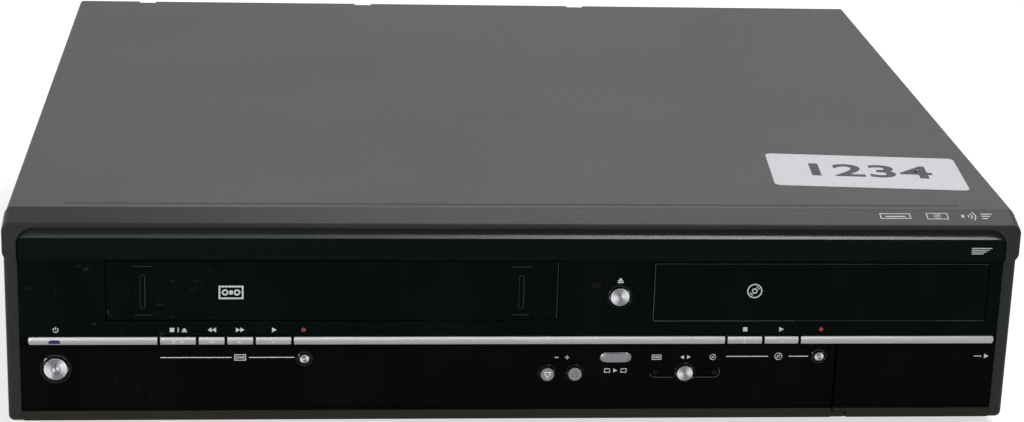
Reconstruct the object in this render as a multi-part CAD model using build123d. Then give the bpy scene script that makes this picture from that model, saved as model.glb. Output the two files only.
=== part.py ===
"""Full-width home recorder with a cassette deck on the left and a disc drawer on the right.

Millimetres. X runs to the right, Y from the front to the back, Z up.
The origin is under the middle of the case, on the surface that the feet stand on.
"""
from math import cos, pi, radians, sin, sqrt
import os

from build123d import *

# ------------------------------------------------------------------ overall sizes
WIDTH = 435.0                 # across the cheeks of the hood
DEPTH = 360.0                 # nose of the hood to the back edge of the cover
HEIGHT = 99.5                 # feet to the top of the cover
HALF = WIDTH / 2
FRONT = -DEPTH / 2
BACK = DEPTH / 2

# ------------------------------------------------------------------ clearances
SEAM = 0.3                    # between two fixed mouldings
SLIP = 0.3                    # round a part that moves in an opening
RUNNING = 0.05                # radial, a shaft in its hole
FLAT = 0.02                   # faces that lie against each other

# ------------------------------------------------------------------ sheet-metal case
SHEET = 0.8                   # cover and cassette holder
PAN = 1.0                     # chassis and rear panel
FLOOR = 9.0                   # underside of the chassis
PAN_TOP = FLOOR + PAN
COVER_HALF = HALF - 1.0
COVER_FRONT = FRONT + 11.5
COVER_BEND = 2.0
CREASE_BACK = 4.8             # stamped line on the cover, behind its front edge
CREASE_INSET = 23.5           # from each end of the line to the side
CREASE_W = 1.0
CREASE_DEPTH = 0.3
NOTCH_X = (-179.0, -59.0, 61.0)
NOTCH_W = 9.0
NOTCH_DEPTH = 2.6
INSIDE_HALF = COVER_HALF - SHEET - 0.2
REAR_Y = BACK - 3.0           # inner face of the rear panel
FLANGE_TOP = PAN_TOP + 24.0

# ------------------------------------------------------------------ front frame and hood
HOOD_BACK = FRONT + 11.2
FRAME_FRONT = FRONT + 2.2
FRAME_BACK = FRONT + 22.0
FRAME_BOTTOM = 5.2
FRAME_SILL = 12.0
COLUMN_HALF = HALF - 0.3
OPENING_HALF = HALF - 6.0
NOSE_Z = HEIGHT - 3.3
HOOD_LIP = HEIGHT - 5.5
CHEEK_Z = HEIGHT - 20.2
CHEEK_R = 4.0
OPENING_R = 8.0
COLUMN_R = 2.6

# ------------------------------------------------------------------ fascia
FASCIA_HALF = OPENING_HALF - SEAM
BAND_FRONT = FRONT + 1.0
BAND_WALL = 2.5
BAND_Z = 79.5
BEVEL_RISE = 4.2
BEVEL_RUN = 3.8
BAND_TOP = HOOD_LIP - 0.5
BAND_R = 7.5
PANEL_FRONT = FRONT + 1.6
PANEL_BACK = PANEL_FRONT + 2.5
LOWER_FRONT = FRONT + 1.4
LOWER_BACK = LOWER_FRONT + 2.5
LIP_Z = 6.0
LOWER_R = 1.2
CHANNEL_FRONT = FRONT + 2.6
CHANNEL_BACK = FRONT + 6.0

# ------------------------------------------------------------------ silver line
LINE_Z = 43.0
LINE_H = 3.4
LINE_END_LEFT = -(HALF - 9.7)
LINE_END_RIGHT = HALF - 7.6
LINE_JOINT = 0.6              # half of the gap between neighbours on the line
CAP_DEPTH = 1.7
PANEL_BOTTOM = LINE_Z + LINE_H / 2 + 0.4
LOWER_TOP = LINE_Z - LINE_H / 2 - 0.4
LAMP_X = -196.7
LAMP_W = 4.9
LAMP_H = 1.6

# edges of each button on the line, left and right
LINE_BUTTONS = {
    "tape_stop_eject_button": (-152.9, -136.6),
    "tape_rewind_button": (-136.6, -124.5),
    "tape_fast_forward_button": (-124.5, -112.4),
    "tape_play_button": (-112.4, -96.2),
    "disc_stop_button": (91.3, 107.6),
    "disc_play_button": (107.6, 123.6),
}
# centre X, centre Z, diameter of the cap, diameter of the dished recess
ROUND_BUTTONS = {
    "power_button": (-196.5, 30.0, 10.2, 13.2),
    "tape_record_button": (-91.1, 34.5, 4.2, 7.0),
    "channel_down_button": (13.8, 27.1, 6.1, 8.2),
    "channel_up_button": (25.8, 27.2, 6.1, 8.2),
    "select_button": (74.0, 27.3, 7.2, 9.2),
    "disc_record_button": (132.8, 35.1, 4.2, 6.7),
    "open_close_button": (44.0, 62.8, 8.4, 10.6),
}
DUB_X = 43.4
DUB_Z = 34.7
DUB_W = 13.6
DUB_H = 4.6
DISH = 1.2                    # depth of a dished recess
BUTTON_TRAVEL = 0.7
CAP_PROUD = 0.9               # round caps, in front of their panel
GROOVE_W = 30.5
GROOVE_H = 4.5
GROOVE_DEPTH = 0.9
LENS_R = 1.2
IR_X = 33.6
IR_Z = 67.9
IR_W = 4.2
IR_H = 2.6

# ------------------------------------------------------------------ boards behind the front
KEY_FRONT = FRONT + 13.5      # front face of the key board
KEY_T = 1.5
SWITCH = 6.0
SWITCH_D = 3.5
PLUNGER_R = 1.4
SWITCH_GAP = BUTTON_TRAVEL + 0.2
STEM_END = KEY_FRONT - SWITCH_D - 0.6 - SWITCH_GAP
DISPLAY_W = 92.0
DISPLAY_H = 22.0
DISPLAY_X = -38.0
DISPLAY_Z = 25.0

# ------------------------------------------------------------------ front door
SEAM_X = 140.0
KNUCKLE_R = 2.3
HINGE_X = SEAM_X + 0.45 + KNUCKLE_R
HINGE_Y = LOWER_FRONT + KNUCKLE_R
HINGE_PIN_R = 0.8
TONGUE_TOP = 8.5
TONGUE_END = HINGE_X + 2.5
POCKET_X0 = SEAM_X + 7.0
POCKET_X1 = HALF - 12.5       # leaves room for the finger rib of the door
POCKET_BACK = FRONT + 22.0
POCKET_WALL = 1.2

# ------------------------------------------------------------------ cassette deck
CASSETTE_W = 187.0
FLAP_X = -78.75
FLAP_W = CASSETTE_W + 5.1
FLAP_Z0 = 52.1
FLAP_Z1 = 78.9
FLAP_FRONT = FRONT + 1.8
FLAP_T = 2.0
FLAP_PIVOT_Y = FRONT + 6.5
FLAP_PIVOT_Z = FLAP_Z1 + 3.1
FLAP_PIN_R = 1.2
FLAP_RECESS_X = 15.6          # centre of each upright recess, from the end of the flap
FLAP_RECESS_W = 9.0
FLAP_RECESS_H = 21.6
FLAP_RECESS_DEPTH = 0.5
FLAP_RIB_W = 2.4
FLAP_RIB_H = 15.2
FLAP_L = FLAP_X - FLAP_W / 2
FLAP_R = FLAP_X + FLAP_W / 2
HOLDER_IN = 68.0
HOLDER_DOWN = 17.0
HOLDER_FRONT = FRONT + 38.0
HOLDER_LEN = 102.0
HOLDER_HALF = FLAP_W / 2 - 0.6
DECK_Z = 30.0
DECK_T = 1.5
DECK_TOP = DECK_Z + DECK_T
HOLDER_REST = 2.1             # between the deck and the lowered holder
HOLDER_Z0 = DECK_TOP + HOLDER_REST + HOLDER_DOWN
HOLDER_Z1 = HOLDER_Z0 + 27.8
DECK_FRONT = FRONT + 52.0
DECK_BACK = DECK_FRONT + 228.0
BRACKET_X = FLAP_W / 2 + 3.6  # inner face of a side bracket, from the middle of the deck
BRACKET_T = 1.2
BRACKET_TOP = 84.0
BRACKET_FOOT = 8.0            # bent foot of a bracket, which lies on the deck
SLIDER_Z = 58.5
HEAD_H = 20.0
ERASE_HEAD_X = -60.0          # left side of the erase head, from the middle of the deck
AUDIO_HEAD_X = 38.0           # left side of the sound head
MOTOR_R = 12.0
MOTOR_INSET = 8.0             # from the left bracket's outer face
MOTOR_GAP = 4.85              # between the loading motor and the erase head
REEL_PITCH = 92.0
REEL_Y = HOLDER_FRONT + HOLDER_IN + 52.0
REEL_R = 17.5
REEL_SHAFT_R = 2.5
DRUM_Y = FRONT + 243.0
DRUM_R = 31.0
DRUM_TILT = 5.0               # degrees, the top leans to the right
DRUM_SHAFT_R = 3.0
LOWER_DRUM_H = 13.0
UPPER_DRUM_H = 17.0
DRUM_SEAT = 36.5              # height of the lower drum's foot on the drum axis
GUIDE_X = 42.0                # each tape guide, from the middle of the deck
GUIDE_Y = DRUM_Y - 51.0
GUIDE_TRAVEL = 45.0
CAPSTAN_X = FLAP_X + 58.75
CAPSTAN_Y = DRUM_Y - 5.0
CAPSTAN_R = 2.0
FLYWHEEL_R = 28.0
ARM_X = CAPSTAN_X + 24.0
ARM_Y = CAPSTAN_Y + 22.0
ARM_LEN = 26.0
ROLLER_R = 6.5
ARM_REST = 24.6               # degrees, from the line between the arm's pivot and the capstan

# ------------------------------------------------------------------ disc drive
DISC_R = 60.5                 # recess for a 120 mm disc
TRAY_MARGIN = 12.85           # from the recess to the end of the drawer's front
TRAY_X = 131.95
TRAY_FRONT_W = 2 * (DISC_R + TRAY_MARGIN)
TRAY_FRONT_Z0 = 51.3
TRAY_FRONT_Z1 = 78.0
TRAY_FRONT_T = 2.4
TRAY_W = TRAY_FRONT_W - 13.0
TRAY_TRAVEL = 135.0
TRAY_HELD = 49.0              # stays in its guides when the drawer is out
TRAY_LEN = TRAY_TRAVEL + TRAY_HELD
TRAY_Z0 = 58.0
TRAY_RIM = 68.0
DISC_FLOOR = 63.5
SMALL_R = 40.5                # recess for an 80 mm disc
SMALL_FLOOR = 62.3
DISC_Y = FRONT + 73.0
SLOT_W = 46.0                 # window of the tray for the turntable and the lens
DRIVE_WALL = 2.5
DRIVE_HALF = TRAY_W / 2 + SLIP + 3.7
DRIVE_FRONT = KEY_FRONT + KEY_T + 1.0
DRIVE_BACK = FRONT + 200.0
DRIVE_Z0 = 45.5
DRIVE_Z1 = 75.0
TURNTABLE_R = 15.0
TURNTABLE_TOP = 64.5
SPINDLE_R = 1.5
SLED_TRAVEL = 34.0
SLED_LEN = 34.0
SLED_Y = DISC_Y + 34.0        # middle of the sled, at its inner stop
ROD_R = 1.5
ROD_X = 27.0
PUCK_R = 16.0
PUCK_Z = 69.0
BRIDGE_Z = 72.0
GEAR_TEETH = 20
GEAR_MODULE = 1.0
GEAR_R = GEAR_TEETH * GEAR_MODULE / 2
RACK_X = -(SLOT_W / 2 + 6.0)  # rack, from the middle of the tray

# ------------------------------------------------------------------ back of the case
BOARD_Z = 18.0
BOARD_T = 1.6
BOARD_TOP = BOARD_Z + BOARD_T
MAIN_X1 = 52.0
MAIN_Y0 = BACK - 75.0
POWER_X0 = 60.0
POWER_X1 = 205.0
POWER_Y0 = BACK - 150.0
SOCKET_BACK = BACK - 1.0      # outer ends of the sockets
PORT = 0.4                    # gap round a socket in the rear panel
SCART_X = (-150.0, -92.0)
SCART_Z = 32.0
SCART_W = 50.0
SCART_H = 16.0
RCA_R = 4.1
RCA_X = (-46.0, -32.0, -18.0)
RCA_Z = (30.0, 48.0)
HDMI_X = 6.0
HDMI_Z = 29.0
AERIAL_X = -190.0
AERIAL_Z = (30.0, 50.0)
AERIAL_R = 4.8
INLET_X = 182.0
INLET_Z = 34.0
FAN_X = 40.0
FAN_Z = 62.0
FAN_SIZE = 40.0
FAN_DEPTH = 10.0
FAN_HUB_R = 10.0
FAN_BLADES = 7

# ------------------------------------------------------------------ feet and screws
FOOT_R = 12.0
FOOT_X = HALF - 47.5
FOOT_INSET = 45.0
SCREW_R = 1.45
SCREW_HEAD_R = 3.0
SIDE_SCREW_Z = 24.0
SIDE_SCREW_Y = (FRONT + 70.0, BACK - 55.0)
REAR_SCREW_X = (-HALF + 22.0, 0.0, HALF - 22.0)
REAR_SCREW_Z = HEIGHT - 8.0
SCREW_FREE = 0.25             # radial, a screw through the cover
SCREW_BITE = 0.15             # radial, a screw in the piece that it holds by
SCREW_TAB = 13.0              # height of the cover's tabs over the rear panel
FOOT_COUNTERBORE = 4.0

# ------------------------------------------------------------------ stock label
LABEL_X = 162.6
LABEL_Y = FRONT + 63.2
LABEL_W = 87.2
LABEL_D = 45.6
LABEL_R = 3.0
LABEL_T = 0.12
LABEL_TURN = -4.6             # degrees


# ------------------------------------------------------------------ helpers
def block(x0, x1, y0, y1, z0, z1):
    """A box between two opposite corners."""
    centre = ((x0 + x1) / 2, (y0 + y1) / 2, (z0 + z1) / 2)
    return Pos(*centre) * Box(x1 - x0, y1 - y0, z1 - z0)


def upright(x, y, z0, z1, radius):
    """A cylinder that stands along Z."""
    return Pos(x, y, (z0 + z1) / 2) * Cylinder(radius, z1 - z0)


def along_x(y, z, x0, x1, radius):
    """A cylinder that lies along X."""
    return Pos((x0 + x1) / 2, y, z) * Rot(0, 90, 0) * Cylinder(radius, x1 - x0)


def along_y(x, z, y0, y1, radius):
    """A cylinder that lies along Y."""
    return Pos(x, (y0 + y1) / 2, z) * Rot(90, 0, 0) * Cylinder(radius, y1 - y0)


def front_shape(sketch, y0, y1):
    """A sketch drawn in X and Z, made solid between two depths."""
    return extrude(Plane.XZ.offset(-y1) * sketch, y1 - y0)


def side_shape(points, x0, x1):
    """An outline drawn in Y and Z, made solid between two places along X."""
    return extrude(Plane.YZ.offset(x0) * Polygon(*points, align=None), x1 - x0, dir=(1, 0, 0))


def slot_sketch(x, z, width, height):
    """A slot with round ends, drawn in X and Z."""
    return Pos(x, z) * SlotOverall(width, height)


def dish(x, z, y, radius, hole):
    """The cutter of a dished recess: wide at the face, narrow at its hole."""
    depth = DISH + 0.4
    cone = Cone(hole + 0.2, radius + 0.2, depth)
    return Pos(x, y + depth / 2 - 0.2, z) * Rot(90, 0, 0) * cone


# ------------------------------------------------------------------ case
def top_cover():
    outer = block(-COVER_HALF, COVER_HALF, COVER_FRONT, BACK, FLOOR + 0.6, HEIGHT)
    outer = fillet(outer.edges().filter_by(Axis.Y).group_by(Axis.Z)[-1], COVER_BEND)
    inner_half = COVER_HALF - SHEET
    inner = block(-inner_half, inner_half, COVER_FRONT - 1, BACK + 1, FLOOR - 1, HEIGHT - SHEET)
    inner = fillet(inner.edges().filter_by(Axis.Y).group_by(Axis.Z)[-1], COVER_BEND - SHEET)
    cover = outer - inner
    crease_y = COVER_FRONT + CREASE_BACK
    crease_half = COVER_HALF - CREASE_INSET
    cover -= block(-crease_half, crease_half, crease_y - CREASE_W / 2, crease_y + CREASE_W / 2,
                   HEIGHT - CREASE_DEPTH, HEIGHT + 1)
    for x in NOTCH_X:
        cover -= block(x - NOTCH_W / 2, x + NOTCH_W / 2, BACK - NOTCH_DEPTH, BACK + 1, HEIGHT - 2, HEIGHT + 1)
    for x in REAR_SCREW_X:
        tab = block(x - 8, x + 8, BACK - 2.0 + FLAT, BACK - 1.2, HEIGHT - SCREW_TAB, HEIGHT - SHEET)
        cover += tab - along_y(x, REAR_SCREW_Z, BACK - 3, BACK, SCREW_R + SCREW_FREE)
    for y in SIDE_SCREW_Y:
        cover -= along_x(y, SIDE_SCREW_Z, -HALF, HALF, SCREW_R + SCREW_FREE)
    return cover


def bottom_chassis():
    y0 = FRAME_BACK
    y1 = REAR_Y - FLAT
    chassis = block(-INSIDE_HALF, INSIDE_HALF, y0, y1, FLOOR, PAN_TOP)
    for side in (-1, 1):
        x = side * INSIDE_HALF
        chassis += block(min(x, x - side * PAN), max(x, x - side * PAN), y0, y1, FLOOR, FLANGE_TOP)
    chassis += block(-INSIDE_HALF, INSIDE_HALF, y0, y0 + PAN, FLOOR, PAN_TOP + 1.5)
    for x, y, z, radius in standoffs():
        chassis += upright(x, y, FLOOR + 0.5, z, radius)
    for y in SIDE_SCREW_Y:
        chassis -= along_x(y, SIDE_SCREW_Z, -HALF, HALF, SCREW_R + SCREW_BITE)
    for x, y in foot_places():
        chassis -= upright(x, y, FLOOR - 1, PAN_TOP + 1, SCREW_R + SCREW_BITE)
    return chassis


def standoffs():
    """Centre, top and radius of each post that stands on the chassis floor."""
    posts = []
    for x in (FLAP_X - BRACKET_X + 5, FLAP_X + BRACKET_X - 5):
        for y in (DECK_FRONT + 8, DECK_BACK - 8):
            posts.append((x, y, DECK_Z, 4.0))
    for x in (-HALF + 20, MAIN_X1 - 6):
        for y in (MAIN_Y0 + 6, BACK - 14):
            posts.append((x, y, BOARD_Z, 3.0))
    for x in (POWER_X0 + 6, POWER_X1 - 6):
        for y in (POWER_Y0 + 6, BACK - 14):
            posts.append((x, y, BOARD_Z, 3.0))
    return posts


def foot_places():
    places = []
    for x in (-FOOT_X, FOOT_X):
        for y in (FRONT + FOOT_INSET, BACK - FOOT_INSET):
            places.append((x, y))
    return places


def rear_panel():
    half = INSIDE_HALF
    panel = block(-half, half, REAR_Y, REAR_Y + PAN, FLOOR + 0.6, HEIGHT - SHEET - 0.6)
    panel -= [front_shape(sketch, REAR_Y - 1, REAR_Y + PAN + 1) for sketch in rear_ports()]
    for x in REAR_SCREW_X:
        panel -= along_y(x, REAR_SCREW_Z, REAR_Y - 1, BACK, SCREW_R + SCREW_BITE)
    return panel


def rear_ports():
    """The openings of the rear panel, drawn in X and Z."""
    ports = []
    for x in SCART_X:
        ports.append(Pos(x, SCART_Z) * Rectangle(SCART_W + 2 * PORT, SCART_H + 2 * PORT))
    for x in RCA_X:
        for z in RCA_Z:
            ports.append(Pos(x, z) * Circle(RCA_R + PORT))
    ports.append(Pos(HDMI_X, HDMI_Z) * Rectangle(15 + 2 * PORT, 6 + 2 * PORT))
    for z in AERIAL_Z:
        ports.append(Pos(AERIAL_X, z) * Circle(AERIAL_R + PORT))
    ports.append(Pos(INLET_X, INLET_Z) * Rectangle(24 + 2 * PORT, 18 + 2 * PORT))
    slat = 2.4
    for row in range(-3, 4):
        z = row * 2 * slat
        half_chord = sqrt((FAN_SIZE / 2 - 3) ** 2 - z ** 2)
        ports.append(slot_sketch(FAN_X, FAN_Z + z, 2 * half_chord, slat))
    for column in range(8):
        ports.append(Pos(92 + 9 * column, HEIGHT - 30) * Rot(0, 0, 90) * SlotOverall(22, 2.6))
    return ports


def rubber_feet():
    feet = []
    for x, y in foot_places():
        foot = Pos(x, y, FLOOR / 2) * Cone(FOOT_R - 1, FOOT_R, FLOOR)
        foot -= upright(x, y, -1, FOOT_COUNTERBORE, SCREW_HEAD_R + 1)
        foot -= upright(x, y, 3, FLOOR + 1, SCREW_R + SCREW_BITE)
        feet.append(foot)
    return feet


def case_screws():
    screws = []
    for side in (-1, 1):
        for y in SIDE_SCREW_Y:
            head = sorted((side * (COVER_HALF + FLAT), side * (COVER_HALF + 0.9)))
            shank = sorted((side * (COVER_HALF - 6), side * (COVER_HALF + 0.5)))
            screw = along_x(y, SIDE_SCREW_Z, head[0], head[1], SCREW_HEAD_R)
            screws.append(screw + along_x(y, SIDE_SCREW_Z, shank[0], shank[1], SCREW_R))
    for x in REAR_SCREW_X:
        screw = along_y(x, REAR_SCREW_Z, BACK - 1.2 + FLAT, BACK - 0.1, SCREW_HEAD_R)
        screws.append(screw + along_y(x, REAR_SCREW_Z, BACK - 8, BACK - 0.6, SCREW_R))
    for x, y in foot_places():
        screw = upright(x, y, FOOT_COUNTERBORE - 2, FOOT_COUNTERBORE - FLAT, SCREW_HEAD_R)
        screws.append(screw + upright(x, y, 3.0, PAN_TOP + 3, SCREW_R))
    return screws


def stock_label():
    label = extrude(RectangleRounded(LABEL_W, LABEL_D, LABEL_R), LABEL_T)
    return Pos(LABEL_X, LABEL_Y, HEIGHT + FLAT) * Rot(0, 0, LABEL_TURN) * label


# ------------------------------------------------------------------ front frame and fascia
def opening_sketch():
    height = HOOD_LIP - FRAME_SILL
    return Pos(0, FRAME_SILL + height / 2) * RectangleRounded(2 * OPENING_HALF, height, OPENING_R)


def hood_limits():
    """The space under the slope of the hood, with its rounded shoulders."""
    along = Plane(origin=(0, FRONT, NOSE_Z), x_dir=(1, 0, 0), z_dir=(0, HOOD_BACK - FRONT, HEIGHT - NOSE_Z))
    return extrude(along * Pos(0, HEIGHT, -70) * RectangleRounded(2 * HALF, 2 * HEIGHT, CHEEK_R), 140)


def front_frame():
    hood_h = HEIGHT + CHEEK_R - CHEEK_Z
    hood = Pos(0, CHEEK_Z + hood_h / 2) * RectangleRounded(2 * HALF, hood_h, CHEEK_R)
    ring_h = HEIGHT - FRAME_BOTTOM
    ring = Pos(0, FRAME_BOTTOM + ring_h / 2) * RectangleRounded(2 * COLUMN_HALF, ring_h, COLUMN_R)
    flange_h = HEIGHT - SHEET - 0.2 - FRAME_BOTTOM
    flange = Pos(0, FRAME_BOTTOM + flange_h / 2) * RectangleRounded(2 * INSIDE_HALF, flange_h, 1.0)
    front = front_shape(hood, FRONT, HOOD_BACK)
    front &= hood_limits()
    front -= front_shape(opening_sketch(), FRONT - 1, HOOD_BACK + 1)
    front = fillet(front.faces().sort_by(Axis.Y)[0].edges(), 0.7)
    columns = front_shape(ring, FRAME_FRONT, HOOD_BACK)
    columns = fillet(columns.faces().sort_by(Axis.Y)[0].edges(), 2.0)
    columns &= hood_limits()
    columns -= block(-OPENING_HALF, OPENING_HALF, FRONT, LOWER_BACK + 0.1, FRAME_BOTTOM - 1, LOWER_TOP)
    columns += front_shape(flange, HOOD_BACK, FRAME_BACK)
    columns -= front_shape(opening_sketch(), FRONT - 1, FRAME_BACK + 1)
    columns -= block(SEAM_X - 4.4, TONGUE_END + 0.3, FRONT, HINGE_Y + KNUCKLE_R + 0.5,
                     FRAME_BOTTOM - 1, FRAME_SILL + 1)
    return front + columns


def fascia_band():
    face_back = BAND_FRONT + BAND_WALL
    bevel_z = BAND_TOP - BEVEL_RISE
    bevel_y = BAND_FRONT + BEVEL_RUN
    shelf_y = BAND_FRONT + 10.0
    outline = [(BAND_FRONT, BAND_Z), (BAND_FRONT, bevel_z), (bevel_y, BAND_TOP), (shelf_y, BAND_TOP),
               (shelf_y, BAND_TOP - 2), (bevel_y + 1.2, BAND_TOP - 2), (face_back, bevel_z - 1),
               (face_back, BAND_Z)]
    band = side_shape(outline, -FASCIA_HALF, FASCIA_HALF)
    height = BAND_TOP - BAND_Z + 40
    corners = Pos(0, BAND_TOP - height / 2) * RectangleRounded(2 * FASCIA_HALF, height, BAND_R)
    band &= front_shape(corners, FRONT, FRAME_BACK)
    for side in (-1, 1):
        x = sorted((FLAP_X + side * (FLAP_W / 2 + 0.7), FLAP_X + side * (FLAP_W / 2 + 2.7)))
        z = FLAP_PIVOT_Z
        lug = block(x[0], x[1], face_back - 0.5, FLAP_PIVOT_Y + 2.6, BAND_Z, z + 2.8)
        band += lug
        band -= along_x(FLAP_PIVOT_Y, z, x[0] - 1, x[1] + 1, FLAP_PIN_R + RUNNING)
    return band


def upper_gloss_panel():
    panel = block(-FASCIA_HALF, FASCIA_HALF, PANEL_FRONT, PANEL_BACK, PANEL_BOTTOM, BAND_Z - FLAT)
    for side in (-1, 1):
        x = sorted((side * FASCIA_HALF, side * (FASCIA_HALF - 1.8)))
        panel += block(x[0], x[1], PANEL_BACK - 0.5, FRAME_BACK - 8, PANEL_BOTTOM, BAND_Z - FLAT)
    panel -= block(FLAP_L - 0.4, FLAP_R + 0.4, FRONT, PANEL_BACK + 1, FLAP_Z0 - 0.4, BAND_Z + 1)
    tray_half = TRAY_FRONT_W / 2 + 0.4
    panel -= block(TRAY_X - tray_half, TRAY_X + tray_half, FRONT, PANEL_BACK + 1,
                   TRAY_FRONT_Z0 - 0.4, TRAY_FRONT_Z1 + 0.4)
    x, z, diameter, ring = ROUND_BUTTONS["open_close_button"]
    panel -= along_y(x, z, FRONT, FRAME_BACK, diameter / 2 + SLIP)
    panel -= dish(x, z, PANEL_FRONT, ring / 2, diameter / 2 + SLIP)
    panel -= front_shape(slot_sketch(IR_X, IR_Z, IR_W, IR_H), FRONT, PANEL_BACK + 1)
    return panel


def line_slots():
    """Where the stems of the line's buttons pass through the channel behind it."""
    slots = []
    for x0, x1 in LINE_BUTTONS.values():
        slots.append(block(x0 + 3 - SLIP, x1 - 3 + SLIP, FRONT, FRAME_BACK,
                           LINE_Z - 1 - SLIP, LINE_Z + 1 + SLIP))
    return slots


def lower_fascia():
    height = LOWER_TOP - LIP_Z
    outline = Pos(0, LOWER_TOP - height / 2) * RectangleRounded(2 * FASCIA_HALF, height, LOWER_R)
    square_top = Pos(0, LOWER_TOP - 5) * Rectangle(2 * FASCIA_HALF, 10)
    panel = front_shape(outline + square_top, LOWER_FRONT, LOWER_BACK)
    panel -= block(SEAM_X - 0.1, HALF, FRONT, FRAME_BACK, LIP_Z - 1, LOWER_TOP + 1)
    panel -= block(-HALF, HALF, FRONT, LOWER_FRONT + 0.4, FRAME_SILL - 0.6, FRAME_SILL - 0.2)
    panel += block(-FASCIA_HALF, FASCIA_HALF, CHANNEL_FRONT, CHANNEL_BACK,
                   LOWER_TOP - 0.2 + FLAT, PANEL_BOTTOM - FLAT)
    panel += block(SEAM_X - 4, TONGUE_END, LOWER_FRONT, LOWER_FRONT + 4.6, LIP_Z + 0.2, TONGUE_TOP)
    panel -= upright(HINGE_X, HINGE_Y, LIP_Z + 1.0, TONGUE_TOP + 1, HINGE_PIN_R + RUNNING)
    panel -= upright(HINGE_X, HINGE_Y, LOWER_TOP - 1, LOWER_TOP + 3, HINGE_PIN_R + RUNNING)
    for x, z, diameter, ring in ROUND_BUTTONS.values():
        if z < LOWER_TOP:
            panel -= along_y(x, z, FRONT, FRAME_BACK, diameter / 2 + SLIP)
            panel -= dish(x, z, LOWER_FRONT, ring / 2, diameter / 2 + SLIP)
    panel -= front_shape(slot_sketch(DUB_X, DUB_Z, DUB_W + 2 * SLIP, DUB_H + 2 * SLIP), FRONT, FRAME_BACK)
    groove_x, groove_z = ROUND_BUTTONS["select_button"][:2]
    panel -= front_shape(slot_sketch(groove_x, groove_z, GROOVE_W, GROOVE_H),
                         FRONT, LOWER_FRONT + GROOVE_DEPTH)
    for side in (-1, 1):
        lens_x = groove_x + side * (GROOVE_W - GROOVE_H) / 2
        panel -= along_y(lens_x, groove_z, FRONT, FRAME_BACK, LENS_R + RUNNING)
    panel -= line_slots()
    lamp = (LAMP_X - LAMP_W / 2 - 0.1, LAMP_X + LAMP_W / 2 + 0.1)
    panel -= block(lamp[0], lamp[1], FRONT, FRAME_BACK, LINE_Z - LAMP_H / 2 - 0.1, LINE_Z + LAMP_H / 2 + 0.1)
    return panel


def trim_bar(x0, x1, round_left, round_right):
    bar = block(x0, x1, FRONT, CHANNEL_FRONT - FLAT, LINE_Z - LINE_H / 2, LINE_Z + LINE_H / 2)
    front_edges = bar.edges().filter_by(Axis.X).group_by(Axis.Y)[0]
    ends = ShapeList()
    if round_left:
        ends += bar.edges().filter_by(Axis.Z).group_by(Axis.X)[0].group_by(Axis.Y)[0]
    if round_right:
        ends += bar.edges().filter_by(Axis.Z).group_by(Axis.X)[-1].group_by(Axis.Y)[0]
    return fillet(front_edges + ends, 1.2)


def silver_trim_bars():
    edges = sorted(LINE_BUTTONS.values())
    left = trim_bar(LINE_END_LEFT, edges[0][0] - LINE_JOINT, True, False)
    left -= block(LAMP_X - LAMP_W / 2 - 0.05, LAMP_X + LAMP_W / 2 + 0.05, FRONT - 1, FRAME_BACK,
                  LINE_Z - LAMP_H / 2 - 0.05, LINE_Z + LAMP_H / 2 + 0.05)
    middle = trim_bar(edges[3][1] + LINE_JOINT, edges[4][0] - LINE_JOINT, False, False)
    right = trim_bar(edges[-1][1] + LINE_JOINT, LINE_END_RIGHT, False, True)
    return [left, middle, right]


def front_lenses():
    """Standby lamp, infrared window, and the lamps at both ends of the select groove."""
    lamp = block(LAMP_X - LAMP_W / 2, LAMP_X + LAMP_W / 2, FRONT + 0.3, CHANNEL_BACK + 3,
                 LINE_Z - LAMP_H / 2, LINE_Z + LAMP_H / 2)
    infrared = front_shape(slot_sketch(IR_X, IR_Z, IR_W - 0.1, IR_H - 0.1), PANEL_FRONT + 0.2, PANEL_BACK + 3)
    lenses = [lamp, infrared]
    groove_x, groove_z = ROUND_BUTTONS["select_button"][:2]
    for side in (-1, 1):
        lens_x = groove_x + side * (GROOVE_W - GROOVE_H) / 2
        lenses.append(along_y(lens_x, groove_z, LOWER_FRONT + GROOVE_DEPTH - 0.3, KEY_FRONT - 2.5, LENS_R))
    return lenses


# ------------------------------------------------------------------ push buttons
def line_button(x0, x1):
    cap = block(x0 + LINE_JOINT, x1 - LINE_JOINT, FRONT, FRONT + CAP_DEPTH,
                LINE_Z - LINE_H / 2 + 0.05, LINE_Z + LINE_H / 2 - 0.05)
    cap = fillet(cap.faces().sort_by(Axis.Y)[0].edges(), 0.6)
    return cap + block(x0 + 3, x1 - 3, FRONT + CAP_DEPTH - 0.2, STEM_END, LINE_Z - 1, LINE_Z + 1)


def round_button(x, z, diameter, ring):
    face = PANEL_FRONT if z > LOWER_TOP else LOWER_FRONT
    collar = (PANEL_BACK if z > LOWER_TOP else LOWER_BACK) + 0.3
    cap = along_y(x, z, face - CAP_PROUD, collar + 0.5, diameter / 2)
    cap = fillet(cap.faces().sort_by(Axis.Y)[0].edges(), 0.5)
    cap += along_y(x, z, collar, collar + 1.0, diameter / 2 + 1.0)
    return cap + along_y(x, z, collar + 0.5, STEM_END, 1.6)


def dubbing_button():
    collar = LOWER_BACK + 0.3
    cap = front_shape(slot_sketch(DUB_X, DUB_Z, DUB_W, DUB_H), LOWER_FRONT - CAP_PROUD, collar + 0.5)
    cap = fillet(cap.faces().sort_by(Axis.Y)[0].edges(), 0.6)
    cap += front_shape(slot_sketch(DUB_X, DUB_Z, DUB_W + 2, DUB_H + 2), collar, collar + 1.0)
    return cap + along_y(DUB_X, DUB_Z, collar + 0.5, STEM_END, 1.6)


def button_places():
    """Centre in X and Z of every button, for the switches behind them."""
    places = [((x0 + x1) / 2, LINE_Z) for x0, x1 in LINE_BUTTONS.values()]
    places += [place[:2] for place in ROUND_BUTTONS.values()]
    places.append((DUB_X, DUB_Z))
    return places


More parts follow.
